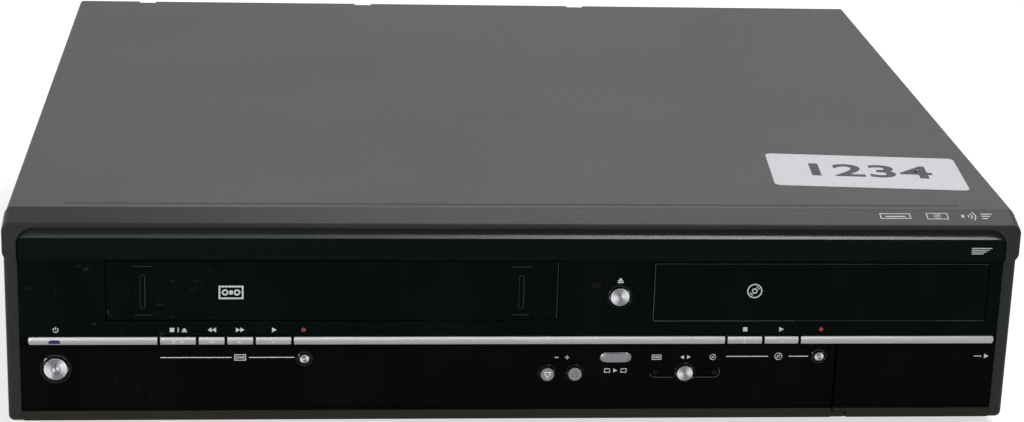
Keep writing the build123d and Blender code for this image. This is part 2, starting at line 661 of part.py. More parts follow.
def key_board():
    y0 = KEY_FRONT
    y1 = KEY_FRONT + KEY_T
    board = block(-HALF + 16, SEAM_X - 3, y0, y1, FRAME_SILL + 0.3, FLAP_Z0 - 2.5)
    board += block(DUB_X - 15, DUB_X + 8, y0, y1, FLAP_Z0 - 3, IR_Z + 4)
    for x, z in button_places():
        board += block(x - SWITCH / 2, x + SWITCH / 2, y0 - SWITCH_D, y0 + 0.2,
                       z - SWITCH / 2, z + SWITCH / 2)
        board += along_y(x, z, y0 - SWITCH_D - 0.6, y0 - SWITCH_D + 0.2, PLUNGER_R)
    return board


def display_module():
    """Vacuum display behind the smoked part of the lower fascia."""
    x0 = DISPLAY_X - DISPLAY_W / 2
    x1 = DISPLAY_X + DISPLAY_W / 2
    z0 = DISPLAY_Z - DISPLAY_H / 2
    z1 = DISPLAY_Z + DISPLAY_H / 2
    tube = block(x0, x1, LOWER_BACK + 1.0, KEY_FRONT - 3.0, z0 + 1, z1 - 3)
    tray = block(x0 - 1, x1 + 1, LOWER_BACK + 2.5, KEY_FRONT - FLAT, z0, z1 - 2)
    tray -= block(x0 - FLAT, x1 + FLAT, LOWER_BACK + 1.0, KEY_FRONT - 3.0 + FLAT,
                  z0 + 1 - FLAT, z1 - 3 + FLAT)
    return [tube, tray]


# ------------------------------------------------------------------ front door and its jacks
def front_door():
    x1 = FASCIA_HALF
    top = LOWER_TOP - 0.5
    low = TONGUE_TOP + 0.3
    height = LOWER_TOP - LIP_Z
    outline = Pos(0, LOWER_TOP - height / 2) * RectangleRounded(2 * FASCIA_HALF, height, LOWER_R)
    square_top = Pos(0, LOWER_TOP - 5) * Rectangle(2 * FASCIA_HALF, 10)
    leaf = front_shape(outline + square_top, LOWER_FRONT, LOWER_FRONT + 2.4)
    leaf &= block(HINGE_X, x1, FRONT, FRAME_BACK, LIP_Z, top)
    leaf -= block(SEAM_X, HINGE_X + 4.2, FRONT, FRAME_BACK, 0, low)
    leaf -= block(HINGE_X + 4, HALF, FRONT, LOWER_FRONT + 0.4, FRAME_SILL - 0.6, FRAME_SILL - 0.2)
    door = leaf + upright(HINGE_X, HINGE_Y, low, top, KNUCKLE_R)
    door += upright(HINGE_X, HINGE_Y, LIP_Z + 1.4, low + 1, HINGE_PIN_R)
    door += upright(HINGE_X, HINGE_Y, top - 1, top + 2.5, HINGE_PIN_R)
    door += block(x1 - 1.6, x1, LOWER_FRONT + 2.0, FRONT + 7.0, FRAME_SILL + 9, top - 6)
    return door


def jack_pocket():
    y0 = LOWER_BACK + 0.6
    z0 = FRAME_SILL + 0.3
    z1 = LOWER_TOP - 0.6
    pocket = block(POCKET_X0, POCKET_X1, y0, POCKET_BACK, z0, z1)
    pocket -= block(POCKET_X0 + POCKET_WALL, POCKET_X1 - POCKET_WALL, y0 - 1, POCKET_BACK - POCKET_WALL,
                    z0 + POCKET_WALL, z1 - POCKET_WALL)
    for x, z, radius in jack_places():
        pocket -= along_y(x, z, y0, POCKET_BACK + 1, radius + SEAM)
    return pocket


def jack_places():
    """Centre and radius of each round jack in the pocket: a mini socket and three phono sockets."""
    z = (FRAME_SILL + LOWER_TOP) / 2
    x = POCKET_X0 + 9
    return [(x, z, 4.6), (x + 14, z, 4.0), (x + 26, z, 4.0), (x + 38, z, 4.0)]


def front_jacks():
    jacks = []
    y_end = POCKET_BACK + 14
    for index, (x, z, radius) in enumerate(jack_places()):
        proud = 1.0 if index == 0 else 5.0
        jack = along_y(x, z, POCKET_BACK - POCKET_WALL - proud, POCKET_BACK + 1.5, radius)
        jack += block(x - 5.4, x + 5.4, POCKET_BACK + 0.2, y_end, z - 6, z + 6)
        bore = 3.4 if index == 0 else 1.7
        jack -= along_y(x, z, POCKET_BACK - 12, POCKET_BACK + 8, bore)
        jacks.append(jack)
    first = jack_places()[0]
    last = jack_places()[-1]
    board = block(first[0] - 8, last[0] + 8, y_end, y_end + 1.6, FRAME_SILL + 0.5, LOWER_TOP - 1)
    rail = block(first[0] - 8, last[0] + 8, POCKET_BACK + PAN + 0.3, y_end + 1.6,
                 PAN_TOP + FLAT, FRAME_SILL + 0.5)
    return jacks + [board + rail]


# ------------------------------------------------------------------ cassette deck
def cassette_flap():
    flap = block(FLAP_L, FLAP_R, FLAP_FRONT, FLAP_FRONT + FLAP_T, FLAP_Z0, FLAP_Z1)
    for side in (-1, 1):
        x = FLAP_X + side * (FLAP_W / 2 - FLAP_RECESS_X)
        middle = (FLAP_Z0 + FLAP_Z1) / 2
        recess = Pos(x, middle) * Rectangle(FLAP_RECESS_W, FLAP_RECESS_H)
        rib = Pos(x, middle) * Rot(0, 0, 90) * SlotOverall(FLAP_RIB_H, FLAP_RIB_W)
        flap -= front_shape(recess, FRONT, FLAP_FRONT + FLAP_RECESS_DEPTH)
        flap += front_shape(rib, FLAP_FRONT + 0.1, FLAP_FRONT + 2 * FLAP_RECESS_DEPTH)
        inner = sorted((FLAP_X + side * (FLAP_W / 2 - 2), FLAP_X + side * FLAP_W / 2))
        arm = block(inner[0], inner[1], FLAP_FRONT + FLAP_T - 0.3, FLAP_PIVOT_Y + 1.5,
                    FLAP_Z1 - 4, FLAP_PIVOT_Z)
        arm += along_x(FLAP_PIVOT_Y, FLAP_PIVOT_Z, inner[0], inner[1], 2.2)
        pin = sorted((inner[0 if side < 0 else 1], FLAP_X + side * (FLAP_W / 2 + 2.4)))
        flap += arm + along_x(FLAP_PIVOT_Y, FLAP_PIVOT_Z, pin[0], pin[1], FLAP_PIN_R)
    return flap


def tape_deck_chassis():
    x0 = FLAP_X - BRACKET_X - BRACKET_T
    x1 = FLAP_X + BRACKET_X + BRACKET_T
    deck = block(x0, x1, DECK_FRONT, DECK_BACK, DECK_Z, DECK_TOP)
    for side in (-1, 1):
        track = side * GUIDE_X + FLAP_X
        deck -= block(track - 2, track + 2, GUIDE_Y - 3, GUIDE_Y + GUIDE_TRAVEL + 3, DECK_Z - 1, DECK_TOP + 1)
        reel_x = FLAP_X + side * REEL_PITCH / 2
        deck += upright(reel_x, REEL_Y, DECK_TOP - 0.5, DECK_TOP + 14, REEL_SHAFT_R)
    base = upright(FLAP_X, DRUM_Y, DECK_TOP - 0.5, DRUM_SEAT + 10, 24)
    base -= drum_frame() * Pos(0, 0, 20) * Box(90, 90, 40 + 2 * FLAT)
    deck += base
    deck += upright(CAPSTAN_X, CAPSTAN_Y, DECK_Z, DECK_TOP + 9, 5.0)
    deck -= upright(CAPSTAN_X, CAPSTAN_Y, DECK_Z - 1, DECK_TOP + 10, CAPSTAN_R + RUNNING)
    deck += upright(ARM_X, ARM_Y, DECK_TOP - 0.5, DECK_TOP + 11.7, 4.0)
    deck += upright(ARM_X, ARM_Y, DECK_TOP + 11, DECK_TOP + 17, 2.0)
    erase_x = FLAP_X + ERASE_HEAD_X
    audio_x = FLAP_X + AUDIO_HEAD_X
    heads = [block(erase_x, erase_x + 10, DRUM_Y + 8, DRUM_Y + 16, DECK_TOP, DECK_TOP + HEAD_H),
             block(audio_x, audio_x + 12, DRUM_Y + 16, DRUM_Y + 25, DECK_TOP, DECK_TOP + HEAD_H)]
    motor_y = DRUM_Y + 16
    motor_x = (x0 + MOTOR_INSET, erase_x - MOTOR_GAP)
    motor = along_x(motor_y, DECK_TOP + MOTOR_R + 2, motor_x[0], motor_x[1], MOTOR_R)
    motor += block(motor_x[0] + 2, motor_x[1] - 2, motor_y - 10, motor_y + 10, DECK_TOP, DECK_TOP + 6)
    return [deck, holder_bracket(-1), holder_bracket(1)] + heads + [motor]


def holder_bracket(side):
    """Side plate that guides the cassette holder: it stands on the deck on a bent foot."""
    front = HOLDER_FRONT - 6
    back = HOLDER_FRONT + HOLDER_LEN + HOLDER_IN
    bottom = DECK_TOP + FLAT
    x = sorted((FLAP_X + side * BRACKET_X, FLAP_X + side * (BRACKET_X + BRACKET_T)))
    foot = sorted((FLAP_X + side * (BRACKET_X - BRACKET_FOOT), FLAP_X + side * (BRACKET_X + BRACKET_T)))
    bracket = block(x[0], x[1], front, back, bottom, BRACKET_TOP)
    bracket -= block(x[0] - 1, x[1] + 1, front - 1, DECK_FRONT, 0, 46)
    bracket -= block(x[0] - 1, x[1] + 1, HOLDER_FRONT + 12, back - 12, SLIDER_Z - 1.7, SLIDER_Z + 1.7)
    for y in (DECK_FRONT + 10, back - 30):
        bracket += block(foot[0], foot[1], y, y + 20, bottom, bottom + BRACKET_T)
    return bracket


def drum_frame():
    """Place and lean of the drum's axis, at the foot of the lower drum."""
    return Pos(FLAP_X, DRUM_Y, DRUM_SEAT) * Rot(0, DRUM_TILT, 0)


def drum_part(z0, z1, radius):
    return drum_frame() * Pos(0, 0, (z0 + z1) / 2) * Cylinder(radius, z1 - z0)


def lower_drum():
    drum = drum_part(0.05, LOWER_DRUM_H, DRUM_R)
    drum -= drum_part(LOWER_DRUM_H - 8, LOWER_DRUM_H + 1, DRUM_R - 4)
    drum += drum_part(LOWER_DRUM_H - 9, LOWER_DRUM_H + 12, DRUM_SHAFT_R)
    return drum


def upper_drum():
    z0 = LOWER_DRUM_H + 0.3
    drum = drum_part(z0, z0 + UPPER_DRUM_H, DRUM_R)
    drum -= drum_part(z0 - 1, z0 + 7, DRUM_R - 4)
    drum -= drum_part(z0 + 12, z0 + UPPER_DRUM_H + 1, DRUM_R - 6)
    drum += drum_part(z0 + 11, z0 + UPPER_DRUM_H - 1, 9)
    drum -= drum_part(z0 - 1, z0 + 12.5, DRUM_SHAFT_R + RUNNING)
    for turn in range(6):
        cut = Pos(0, 0, z0 + 0.4) * Rot(0, 0, 60 * turn) * Pos(DRUM_R, 0, 0) * Box(3, 2, 2.4)
        drum -= drum_frame() * cut
    return drum


def reel_table(side):
    x = FLAP_X + side * REEL_PITCH / 2
    table = upright(x, REEL_Y, DECK_TOP + 0.3, DECK_TOP + 3.0, REEL_R)
    table += upright(x, REEL_Y, DECK_TOP + 2.5, DECK_TOP + 13.5, 7.0)
    for turn in range(3):
        rib = Pos(x, REEL_Y, DECK_TOP + 8) * Rot(0, 0, 120 * turn) * Pos(8, 0, 0) * Box(4, 2, 9)
        table += rib
    return table - upright(x, REEL_Y, DECK_TOP, DECK_TOP + 15, REEL_SHAFT_R + RUNNING)


def capstan_flywheel():
    capstan = upright(CAPSTAN_X, CAPSTAN_Y, DECK_Z - 12, DECK_TOP + 24, CAPSTAN_R)
    capstan += upright(CAPSTAN_X, CAPSTAN_Y, DECK_Z - 10, DECK_Z - 4, FLYWHEEL_R)
    return capstan - upright(CAPSTAN_X, CAPSTAN_Y, DECK_Z - 13, DECK_Z - 11.5, 0.8)


def roller_place():
    """Centre of the pinch roller while its arm is open."""
    heading = pi + atan_of(ARM_Y - CAPSTAN_Y, ARM_X - CAPSTAN_X) + radians(ARM_REST)
    return ARM_X + ARM_LEN * cos(heading), ARM_Y + ARM_LEN * sin(heading), heading


def atan_of(rise, run):
    return radians(Vector(1, 0, 0).get_signed_angle(Vector(run, rise, 0)))


def pinch_roller_arm():
    x, y, heading = roller_place()
    z0 = DECK_TOP + 12
    arm = upright(ARM_X, ARM_Y, z0, z0 + 3.5, 5.0) + upright(x, y, z0, z0 + 3.5, 4.5)
    bar = Pos(ARM_X, ARM_Y, z0 + 1.75) * Rot(0, 0, heading * 180 / pi) * Pos(ARM_LEN / 2, 0, 0)
    arm += bar * Box(ARM_LEN, 6, 3.5)
    arm -= upright(ARM_X, ARM_Y, z0 - 1, z0 + 5, 2.0 + RUNNING)
    return arm + upright(x, y, z0 - 9.5, z0 + 1, 1.5)


def pinch_roller():
    x, y = roller_place()[:2]
    z1 = DECK_TOP + 12 - 0.3
    roller = upright(x, y, z1 - 9, z1, ROLLER_R)
    return roller - upright(x, y, z1 - 10, z1 + 1, 1.5 + RUNNING)


def tape_guide(side):
    x = FLAP_X + side * GUIDE_X
    guide = block(x - 6, x + 6, GUIDE_Y - 6, GUIDE_Y + 6, DECK_TOP + 0.3, DECK_TOP + 3.5)
    guide += block(x - 1.7, x + 1.7, GUIDE_Y - 2.5, GUIDE_Y + 2.5, DECK_Z - 1.5, DECK_TOP + 1)
    guide += upright(x, GUIDE_Y - 2.5, DECK_TOP + 3, DECK_TOP + 21, 1.2)
    guide += upright(x, GUIDE_Y - 2.5, DECK_TOP + 4.5, DECK_TOP + 18, 3.0)
    lean = Pos(x + side * 1.5, GUIDE_Y + 3, DECK_TOP + 11) * Rot(0, side * 8, 0)
    return guide + lean * Cylinder(1.3, 17)


def holder_sliders():
    """A runner on each side, whose two pins ride in the slot of the side bracket."""
    runners = []
    y0 = HOLDER_FRONT + 18
    y1 = HOLDER_FRONT + 74
    for side in (-1, 1):
        inner = FLAP_X + side * (HOLDER_HALF + 0.4)
        outer = FLAP_X + side * (BRACKET_X - 0.3)
        x = sorted((inner, outer))
        runner = block(x[0], x[1], y0, y1, SLIDER_Z - 4, SLIDER_Z + 4)
        tip = FLAP_X + side * (BRACKET_X + BRACKET_T + 0.8)
        pin = sorted((inner + side * 0.5, tip))
        for y in (y0 + 6, y1 - 6):
            runner += along_x(y, SLIDER_Z, pin[0], pin[1], 1.6)
        runners.append(runner)
    return runners


def cassette_holder():
    x0 = FLAP_X - HOLDER_HALF
    x1 = FLAP_X + HOLDER_HALF
    y0 = HOLDER_FRONT
    y1 = HOLDER_FRONT + HOLDER_LEN
    holder = block(x0, x1, y0, y1 - 26, HOLDER_Z0, HOLDER_Z0 + SHEET)
    for side in (-1, 1):
        wall = sorted((FLAP_X + side * HOLDER_HALF, FLAP_X + side * (HOLDER_HALF - SHEET)))
        lip = sorted((FLAP_X + side * HOLDER_HALF, FLAP_X + side * (HOLDER_HALF - 13)))
        holder += block(wall[0], wall[1], y0, y1, HOLDER_Z0, HOLDER_Z1)
        holder += block(lip[0], lip[1], y0, y1, HOLDER_Z1 - SHEET, HOLDER_Z1)
        holder += block(lip[0], lip[1], y0, y1 - 6, HOLDER_Z0, HOLDER_Z0 + SHEET)
        reel_x = FLAP_X + side * REEL_PITCH / 2
        holder -= upright(reel_x, REEL_Y - HOLDER_IN, HOLDER_Z0 - 1, HOLDER_Z0 + 2, REEL_R + 3.5)
    return holder


# ------------------------------------------------------------------ disc drive
def rack_teeth(x, y0, y1, pitch):
    """Straight rack that faces +X: one tooth every pitch, a tooth space at the gear's line."""
    teeth = []
    count = int((y1 - y0) / pitch)
    for index in range(count):
        y = y0 + index * pitch
        outline = Polygon((x - 0.5, y - 0.24 * pitch), (x + 2.0, y - 0.10 * pitch),
                          (x + 2.0, y + 0.10 * pitch), (x - 0.5, y + 0.24 * pitch), align=None)
        teeth.append(extrude(Plane.XY.offset(TRAY_Z0 - 3.5) * outline, 3.5, dir=(0, 0, 1)))
    return teeth


def gear_place():
    """Centre of the drive gear, which meshes with the rack under the tray."""
    return TRAY_X + RACK_X + 1.0 + GEAR_R, DRIVE_FRONT + 24.0


def disc_tray():
    half = TRAY_W / 2
    y0 = PANEL_FRONT + TRAY_FRONT_T + FLAT
    y1 = y0 + TRAY_LEN
    tray = block(TRAY_X - half, TRAY_X + half, y0, y1, TRAY_Z0, TRAY_RIM)
    tray -= upright(TRAY_X, DISC_Y, DISC_FLOOR, TRAY_RIM + 1, DISC_R)
    tray -= upright(TRAY_X, DISC_Y, SMALL_FLOOR, TRAY_RIM + 1, SMALL_R)
    tray -= upright(TRAY_X, DISC_Y, TRAY_Z0 - 1, TRAY_RIM + 1, SLOT_W / 2)
    tray -= block(TRAY_X - SLOT_W / 2, TRAY_X + SLOT_W / 2, DISC_Y, y1 + 1, TRAY_Z0 - 1, TRAY_RIM + 1)
    for side in (-1, 1):
        step = sorted((TRAY_X + side * half, TRAY_X + side * (half - 5)))
        tray -= block(step[0], step[1], y0 + 4, y1 + 1, TRAY_RIM - 4, TRAY_RIM + 1)
    tray -= block(TRAY_X - half + 8, TRAY_X + half - 8, DISC_Y + DISC_R + 6, y1 + 1, DISC_FLOOR, TRAY_RIM + 1)
    rail_x = TRAY_X + RACK_X
    tray += block(rail_x - 3, rail_x, y0 + 4, y1 - 4, TRAY_Z0 - 3.5, TRAY_Z0 + 1)
    pitch = pi * GEAR_MODULE
    gear_y = gear_place()[1]
    before = int((gear_y - y0 - 6) / pitch)
    tray += rack_teeth(rail_x, gear_y - before * pitch, y1 - 6, pitch)
    return tray


def tray_front():
    half = TRAY_FRONT_W / 2
    y1 = PANEL_FRONT + TRAY_FRONT_T
    front = block(TRAY_X - half, TRAY_X + half, PANEL_FRONT, y1, TRAY_FRONT_Z0, TRAY_FRONT_Z1)
    return fillet(front.faces().sort_by(Axis.Y)[0].edges(), 0.35)


def tray_drive_gear():
    x, y = gear_place()
    root = GEAR_R - 1.15
    gear = Cylinder(root, 3.0)
    tooth = Polygon((root - 0.5, -0.72), (root, -0.72), (GEAR_R, -0.52), (GEAR_R + 0.75, -0.26),
                    (GEAR_R + 0.75, 0.26), (GEAR_R, 0.52), (root, 0.72), (root - 0.5, 0.72), align=None)
    half_turn = 180.0
    for index in range(GEAR_TEETH):
        turn = half_turn + (index + 0.5) * 360 / GEAR_TEETH
        gear += Rot(0, 0, turn) * Pos(0, 0, -1.5) * extrude(tooth, 3.0, dir=(0, 0, 1))
    gear = Pos(x, y, TRAY_Z0 - 2.0) * gear
    return gear - upright(x, y, TRAY_Z0 - 5, TRAY_Z0 + 1, 2.0 + RUNNING)


def disc_drive_frame():
    left = TRAY_X - DRIVE_HALF
    right = TRAY_X + DRIVE_HALF
    frame = block(left - DRIVE_WALL, right + DRIVE_WALL, DRIVE_FRONT, DRIVE_BACK, DRIVE_Z0, DRIVE_Z0 + 2)
    frame -= block(TRAY_X - 34, TRAY_X + 34, DISC_Y - 26, DRIVE_BACK - 12, DRIVE_Z0 - 1, DRIVE_Z0 + 3)
    for side in (-1, 1):
        wall = sorted((TRAY_X + side * DRIVE_HALF, TRAY_X + side * (DRIVE_HALF + DRIVE_WALL)))
        ledge = sorted((TRAY_X + side * DRIVE_HALF, TRAY_X + side * (TRAY_W / 2 - 5)))
        keeper = sorted((TRAY_X + side * DRIVE_HALF, TRAY_X + side * (TRAY_W / 2 - 3)))
        frame += block(wall[0], wall[1], DRIVE_FRONT, DRIVE_BACK, DRIVE_Z0, DRIVE_Z1)
        frame += block(ledge[0], ledge[1], DRIVE_FRONT, DRIVE_BACK, TRAY_Z0 - 2.3, TRAY_Z0 - 0.3)
        for y in (DRIVE_FRONT + 6, DISC_Y + 30):
            frame += block(keeper[0], keeper[1], y, y + 14, TRAY_RIM - 3.7, TRAY_RIM - 2.0)
        for y in (DRIVE_FRONT + 42, DRIVE_BACK - 14):
            leg = sorted((TRAY_X + side * (DRIVE_HALF - 4), TRAY_X + side * (DRIVE_HALF + DRIVE_WALL)))
            frame += block(leg[0], leg[1], y, y + 9, PAN_TOP + FLAT, DRIVE_Z0 + 1)
    bridge_y = (DISC_Y - 22, DISC_Y + 22)
    bridge = block(left - DRIVE_WALL, right + DRIVE_WALL, bridge_y[0], bridge_y[1], BRIDGE_Z, BRIDGE_Z + 1.6)
    bridge -= upright(TRAY_X, DISC_Y, BRIDGE_Z - 1, BRIDGE_Z + 3, PUCK_R - 4)
    frame += bridge
    x, y = gear_place()
    frame += upright(x, y, DRIVE_Z0 + 1, TRAY_Z0 - 0.6, 2.0)
    frame += upright(x, y, DRIVE_Z0 + 1, TRAY_Z0 - 3.8, 4.0)
    for side in (-1, 1):
        rod_x = TRAY_X + side * ROD_X
        ends = (DISC_Y + 8, SLED_Y + SLED_LEN / 2 + SLED_TRAVEL + 24)
        for y in (ends[0], ends[1] - 6):
            lug_x = sorted((rod_x - side * 4, TRAY_X + side * 36))
            frame += block(lug_x[0], lug_x[1], y, y + 6, DRIVE_Z0, DRIVE_Z0 + 7)
        frame += along_y(rod_x, DRIVE_Z0 + 3.5, ends[0], ends[1], ROD_R)
    plate = block(TRAY_X - 36, TRAY_X + 36, DISC_Y - 18, DISC_Y + 9, DRIVE_Z0 + 0.5, DRIVE_Z0 + 2)
    frame += plate + upright(TRAY_X, DISC_Y, DRIVE_Z0 + 1, DRIVE_Z0 + 5, 11.0)
    frame += upright(TRAY_X, DISC_Y, DRIVE_Z0 + 4, DRIVE_Z0 + 12, SPINDLE_R)
    return frame


def turntable():
    z0 = DRIVE_Z0 + 5.4
    table = upright(TRAY_X, DISC_Y, z0, z0 + 6, 13.0)
    table += upright(TRAY_X, DISC_Y, z0 + 5, TURNTABLE_TOP - 3, 6.0)
    table += upright(TRAY_X, DISC_Y, TURNTABLE_TOP - 4.5, TURNTABLE_TOP - 2.5, TURNTABLE_R)
    table += Pos(TRAY_X, DISC_Y, TURNTABLE_TOP - 1.5) * Cone(7.4, 5.5, 2.4)
    return table - upright(TRAY_X, DISC_Y, z0 - 1, DRIVE_Z0 + 12.5, SPINDLE_R + RUNNING)


def optical_sled():
    y0 = SLED_Y - SLED_LEN / 2
    y1 = SLED_Y + SLED_LEN / 2
    z_rod = DRIVE_Z0 + 3.5
    sled = block(TRAY_X - 22, TRAY_X + 22, y0, y1, DRIVE_Z0 + 5.5, DRIVE_Z0 + 13)
    sled += block(TRAY_X - 13, TRAY_X + 13, y0 + 4, y1 - 4, DRIVE_Z0 + 1.5, DRIVE_Z0 + 6)
    for side in (-1, 1):
        x = sorted((TRAY_X + side * 20, TRAY_X + side * 30))
        sled += block(x[0], x[1], y0 + 3, y1 - 3, z_rod - 3, z_rod + 4.5)
        sled -= along_y(TRAY_X + side * ROD_X, z_rod, y0, y1, ROD_R + RUNNING)
    return sled + upright(TRAY_X, SLED_Y - 8, DRIVE_Z0 + 12, DRIVE_Z0 + 15.5, 4.0)


def clamp_puck():
    puck = upright(TRAY_X, DISC_Y, PUCK_Z, BRIDGE_Z - 0.3, PUCK_R)
    puck += upright(TRAY_X, DISC_Y, BRIDGE_Z - 1, BRIDGE_Z + 2.2, PUCK_R - 4.4)
    puck += upright(TRAY_X, DISC_Y, BRIDGE_Z + 1.9, BRIDGE_Z + 3.4, PUCK_R - 1)
    return puck - Pos(TRAY_X, DISC_Y, PUCK_Z) * Cone(8.4, 6.2, 3.0)


# ------------------------------------------------------------------ boards and sockets
def main_board():
    board = block(-HALF + 12, MAIN_X1, MAIN_Y0, REAR_Y - 1, BOARD_Z, BOARD_TOP)
    chips = []
    for x, y, size in ((-120, MAIN_Y0 + 16, 26), (-60, MAIN_Y0 + 20, 20), (-8, MAIN_Y0 + 18, 28)):
        chips.append(block(x - size / 2, x + size / 2, y - 10, y + 10, BOARD_TOP - 0.3, BOARD_TOP + 2.4))
    return board + chips


def antenna_tuner():
    can = block(AERIAL_X - 12, AERIAL_X + 12, REAR_Y - 52, REAR_Y - 0.4, BOARD_TOP, AERIAL_Z[1] + 9)
    for z in AERIAL_Z:
        can += along_y(AERIAL_X, z, REAR_Y - 1, SOCKET_BACK, AERIAL_R)
        can -= along_y(AERIAL_X, z, REAR_Y - 8, BACK, AERIAL_R - 2.0)
    return can


def scart_sockets():
    sockets = []
    for x in SCART_X:
        half = SCART_W / 2
        z0 = SCART_Z - SCART_H / 2
        body = block(x - half, x + half, REAR_Y - 16, SOCKET_BACK, z0, z0 + SCART_H)
        body += block(x - half + 2, x + half - 2, REAR_Y - 16, REAR_Y - 2, BOARD_TOP, z0 + 1)
        ring = block(x - half + 2, x + half - 2, REAR_Y - 5, BACK, z0 + 2, z0 + SCART_H - 2)
        ring -= block(x - half + 4.4, x + half - 4.4, REAR_Y - 6, BACK + 1, z0 + 4.4, z0 + SCART_H - 4.4)
        sockets.append(body - ring)
    return sockets


def rear_jacks():
    """Two rows of phono sockets in one housing, and the flat digital video socket."""
    x0 = RCA_X[0] - 7
    x1 = RCA_X[-1] + 7
    housing = block(x0, x1, REAR_Y - 14, REAR_Y - 0.4, BOARD_TOP, RCA_Z[-1] + 8)
    for x in RCA_X:
        for z in RCA_Z:
            housing += along_y(x, z, REAR_Y - 1, SOCKET_BACK, RCA_R)
            housing -= along_y(x, z, REAR_Y - 9, BACK, 1.7)
    digital = block(HDMI_X - 7.5, HDMI_X + 7.5, REAR_Y - 11, SOCKET_BACK, HDMI_Z - 3, HDMI_Z + 3)
    digital -= block(HDMI_X - 6.7, HDMI_X + 6.7, REAR_Y - 8, BACK, HDMI_Z - 2.2, HDMI_Z + 2.2)
    digital += block(HDMI_X - 5.2, HDMI_X + 5.2, REAR_Y - 9, SOCKET_BACK - 1, HDMI_Z - 0.5, HDMI_Z + 0.5)
    digital += block(HDMI_X - 6, HDMI_X + 6, REAR_Y - 11, REAR_Y - 3, BOARD_TOP, HDMI_Z - 2.5)
    return [housing, digital]


def ac_inlet():
    z0 = INLET_Z - 9
    body = block(INLET_X - 12, INLET_X + 12, REAR_Y - 18, SOCKET_BACK, z0, z0 + 18)
    well = Pos(INLET_X, INLET_Z) * SlotOverall(15.5, 9.0)
    body -= front_shape(well, REAR_Y - 10, BACK)
    for side in (-1, 1):
        body += along_y(INLET_X + side * 4.0, INLET_Z, REAR_Y - 11, REAR_Y - 1, 1.2)
    return body + block(INLET_X - 9, INLET_X + 9, REAR_Y - 18, REAR_Y - 4, BOARD_TOP, z0 + 1)


def power_board():
    board = block(POWER_X0, POWER_X1, POWER_Y0, REAR_Y - 1, BOARD_Z, BOARD_TOP)
    top = BOARD_TOP - 0.3
    x = POWER_X1 - 45
    y = POWER_Y0 + 30
    board += block(x - 22, x + 22, y - 20, y + 20, top, top + 34)
    board += block(x - 24, x + 24, y - 12, y + 12, top, top + 30)
    for index in range(3):
        board += upright(POWER_X0 + 18 + 24 * index, POWER_Y0 + 76, top, top + 30, 9)
    board += block(POWER_X0 + 10, POWER_X0 + 60, POWER_Y0 + 48, POWER_Y0 + 51, top, top + 36)
    for index in range(6):
        fin = POWER_X0 + 12 + 9 * index
        board += block(fin, fin + 1.5, POWER_Y0 + 40, POWER_Y0 + 48.5, top, top + 36)
    board += along_x(POWER_Y0 + 100, top + 4, POWER_X1 - 40, POWER_X1 - 20, 2.6)
    board += block(POWER_X1 - 40, POWER_X1 - 20, POWER_Y0 + 98.5, POWER_Y0 + 101.5, top, top + 3)
    return board


def fan_frame():
    half = FAN_SIZE / 2
    y1 = REAR_Y - 0.2
    y0 = y1 - FAN_DEPTH
    frame = block(FAN_X - half, FAN_X + half, y0, y1, FAN_Z - half, FAN_Z + half)
    frame -= along_y(FAN_X, FAN_Z, y0 - 1, y1 + 1, half - 1.5)
    for turn in range(4):
        arm = Pos(FAN_X, y0 + 0.8, FAN_Z) * Rot(0, 90 * turn + 45, 0) * Pos(half / 2, 0, 0)
        frame += arm * Box(half, 1.6, 2.4)
    frame += along_y(FAN_X, FAN_Z, y0, y0 + 1.6, 7.0)
    frame += along_y(FAN_X, FAN_Z, y0 + 1, y1 - 2.5, 1.2)
    foot = block(FAN_X - 12, FAN_X - 4, y0, y1, BOARD_TOP, FAN_Z - half + 0.5)
    return frame + foot + foot.moved(Location((16, 0, 0)))


def fan_rotor():
    y1 = REAR_Y - 1.0
    y0 = y1 - FAN_DEPTH + 3.2
    rotor = along_y(FAN_X, FAN_Z, y0, y1, FAN_HUB_R)
    middle = (y0 + y1) / 2
    for index in range(FAN_BLADES):
        spin = Pos(FAN_X, middle, FAN_Z) * Rot(0, 360 * index / FAN_BLADES, 0)
        rotor += spin * Pos(FAN_HUB_R + 3.4, 0, 0) * Rot(35, 0, 0) * Box(8.4, 1.2, 7.6)
    return rotor - along_y(FAN_X, FAN_Z, y0 - 1, y1 - 1.2, 1.2 + RUNNING)


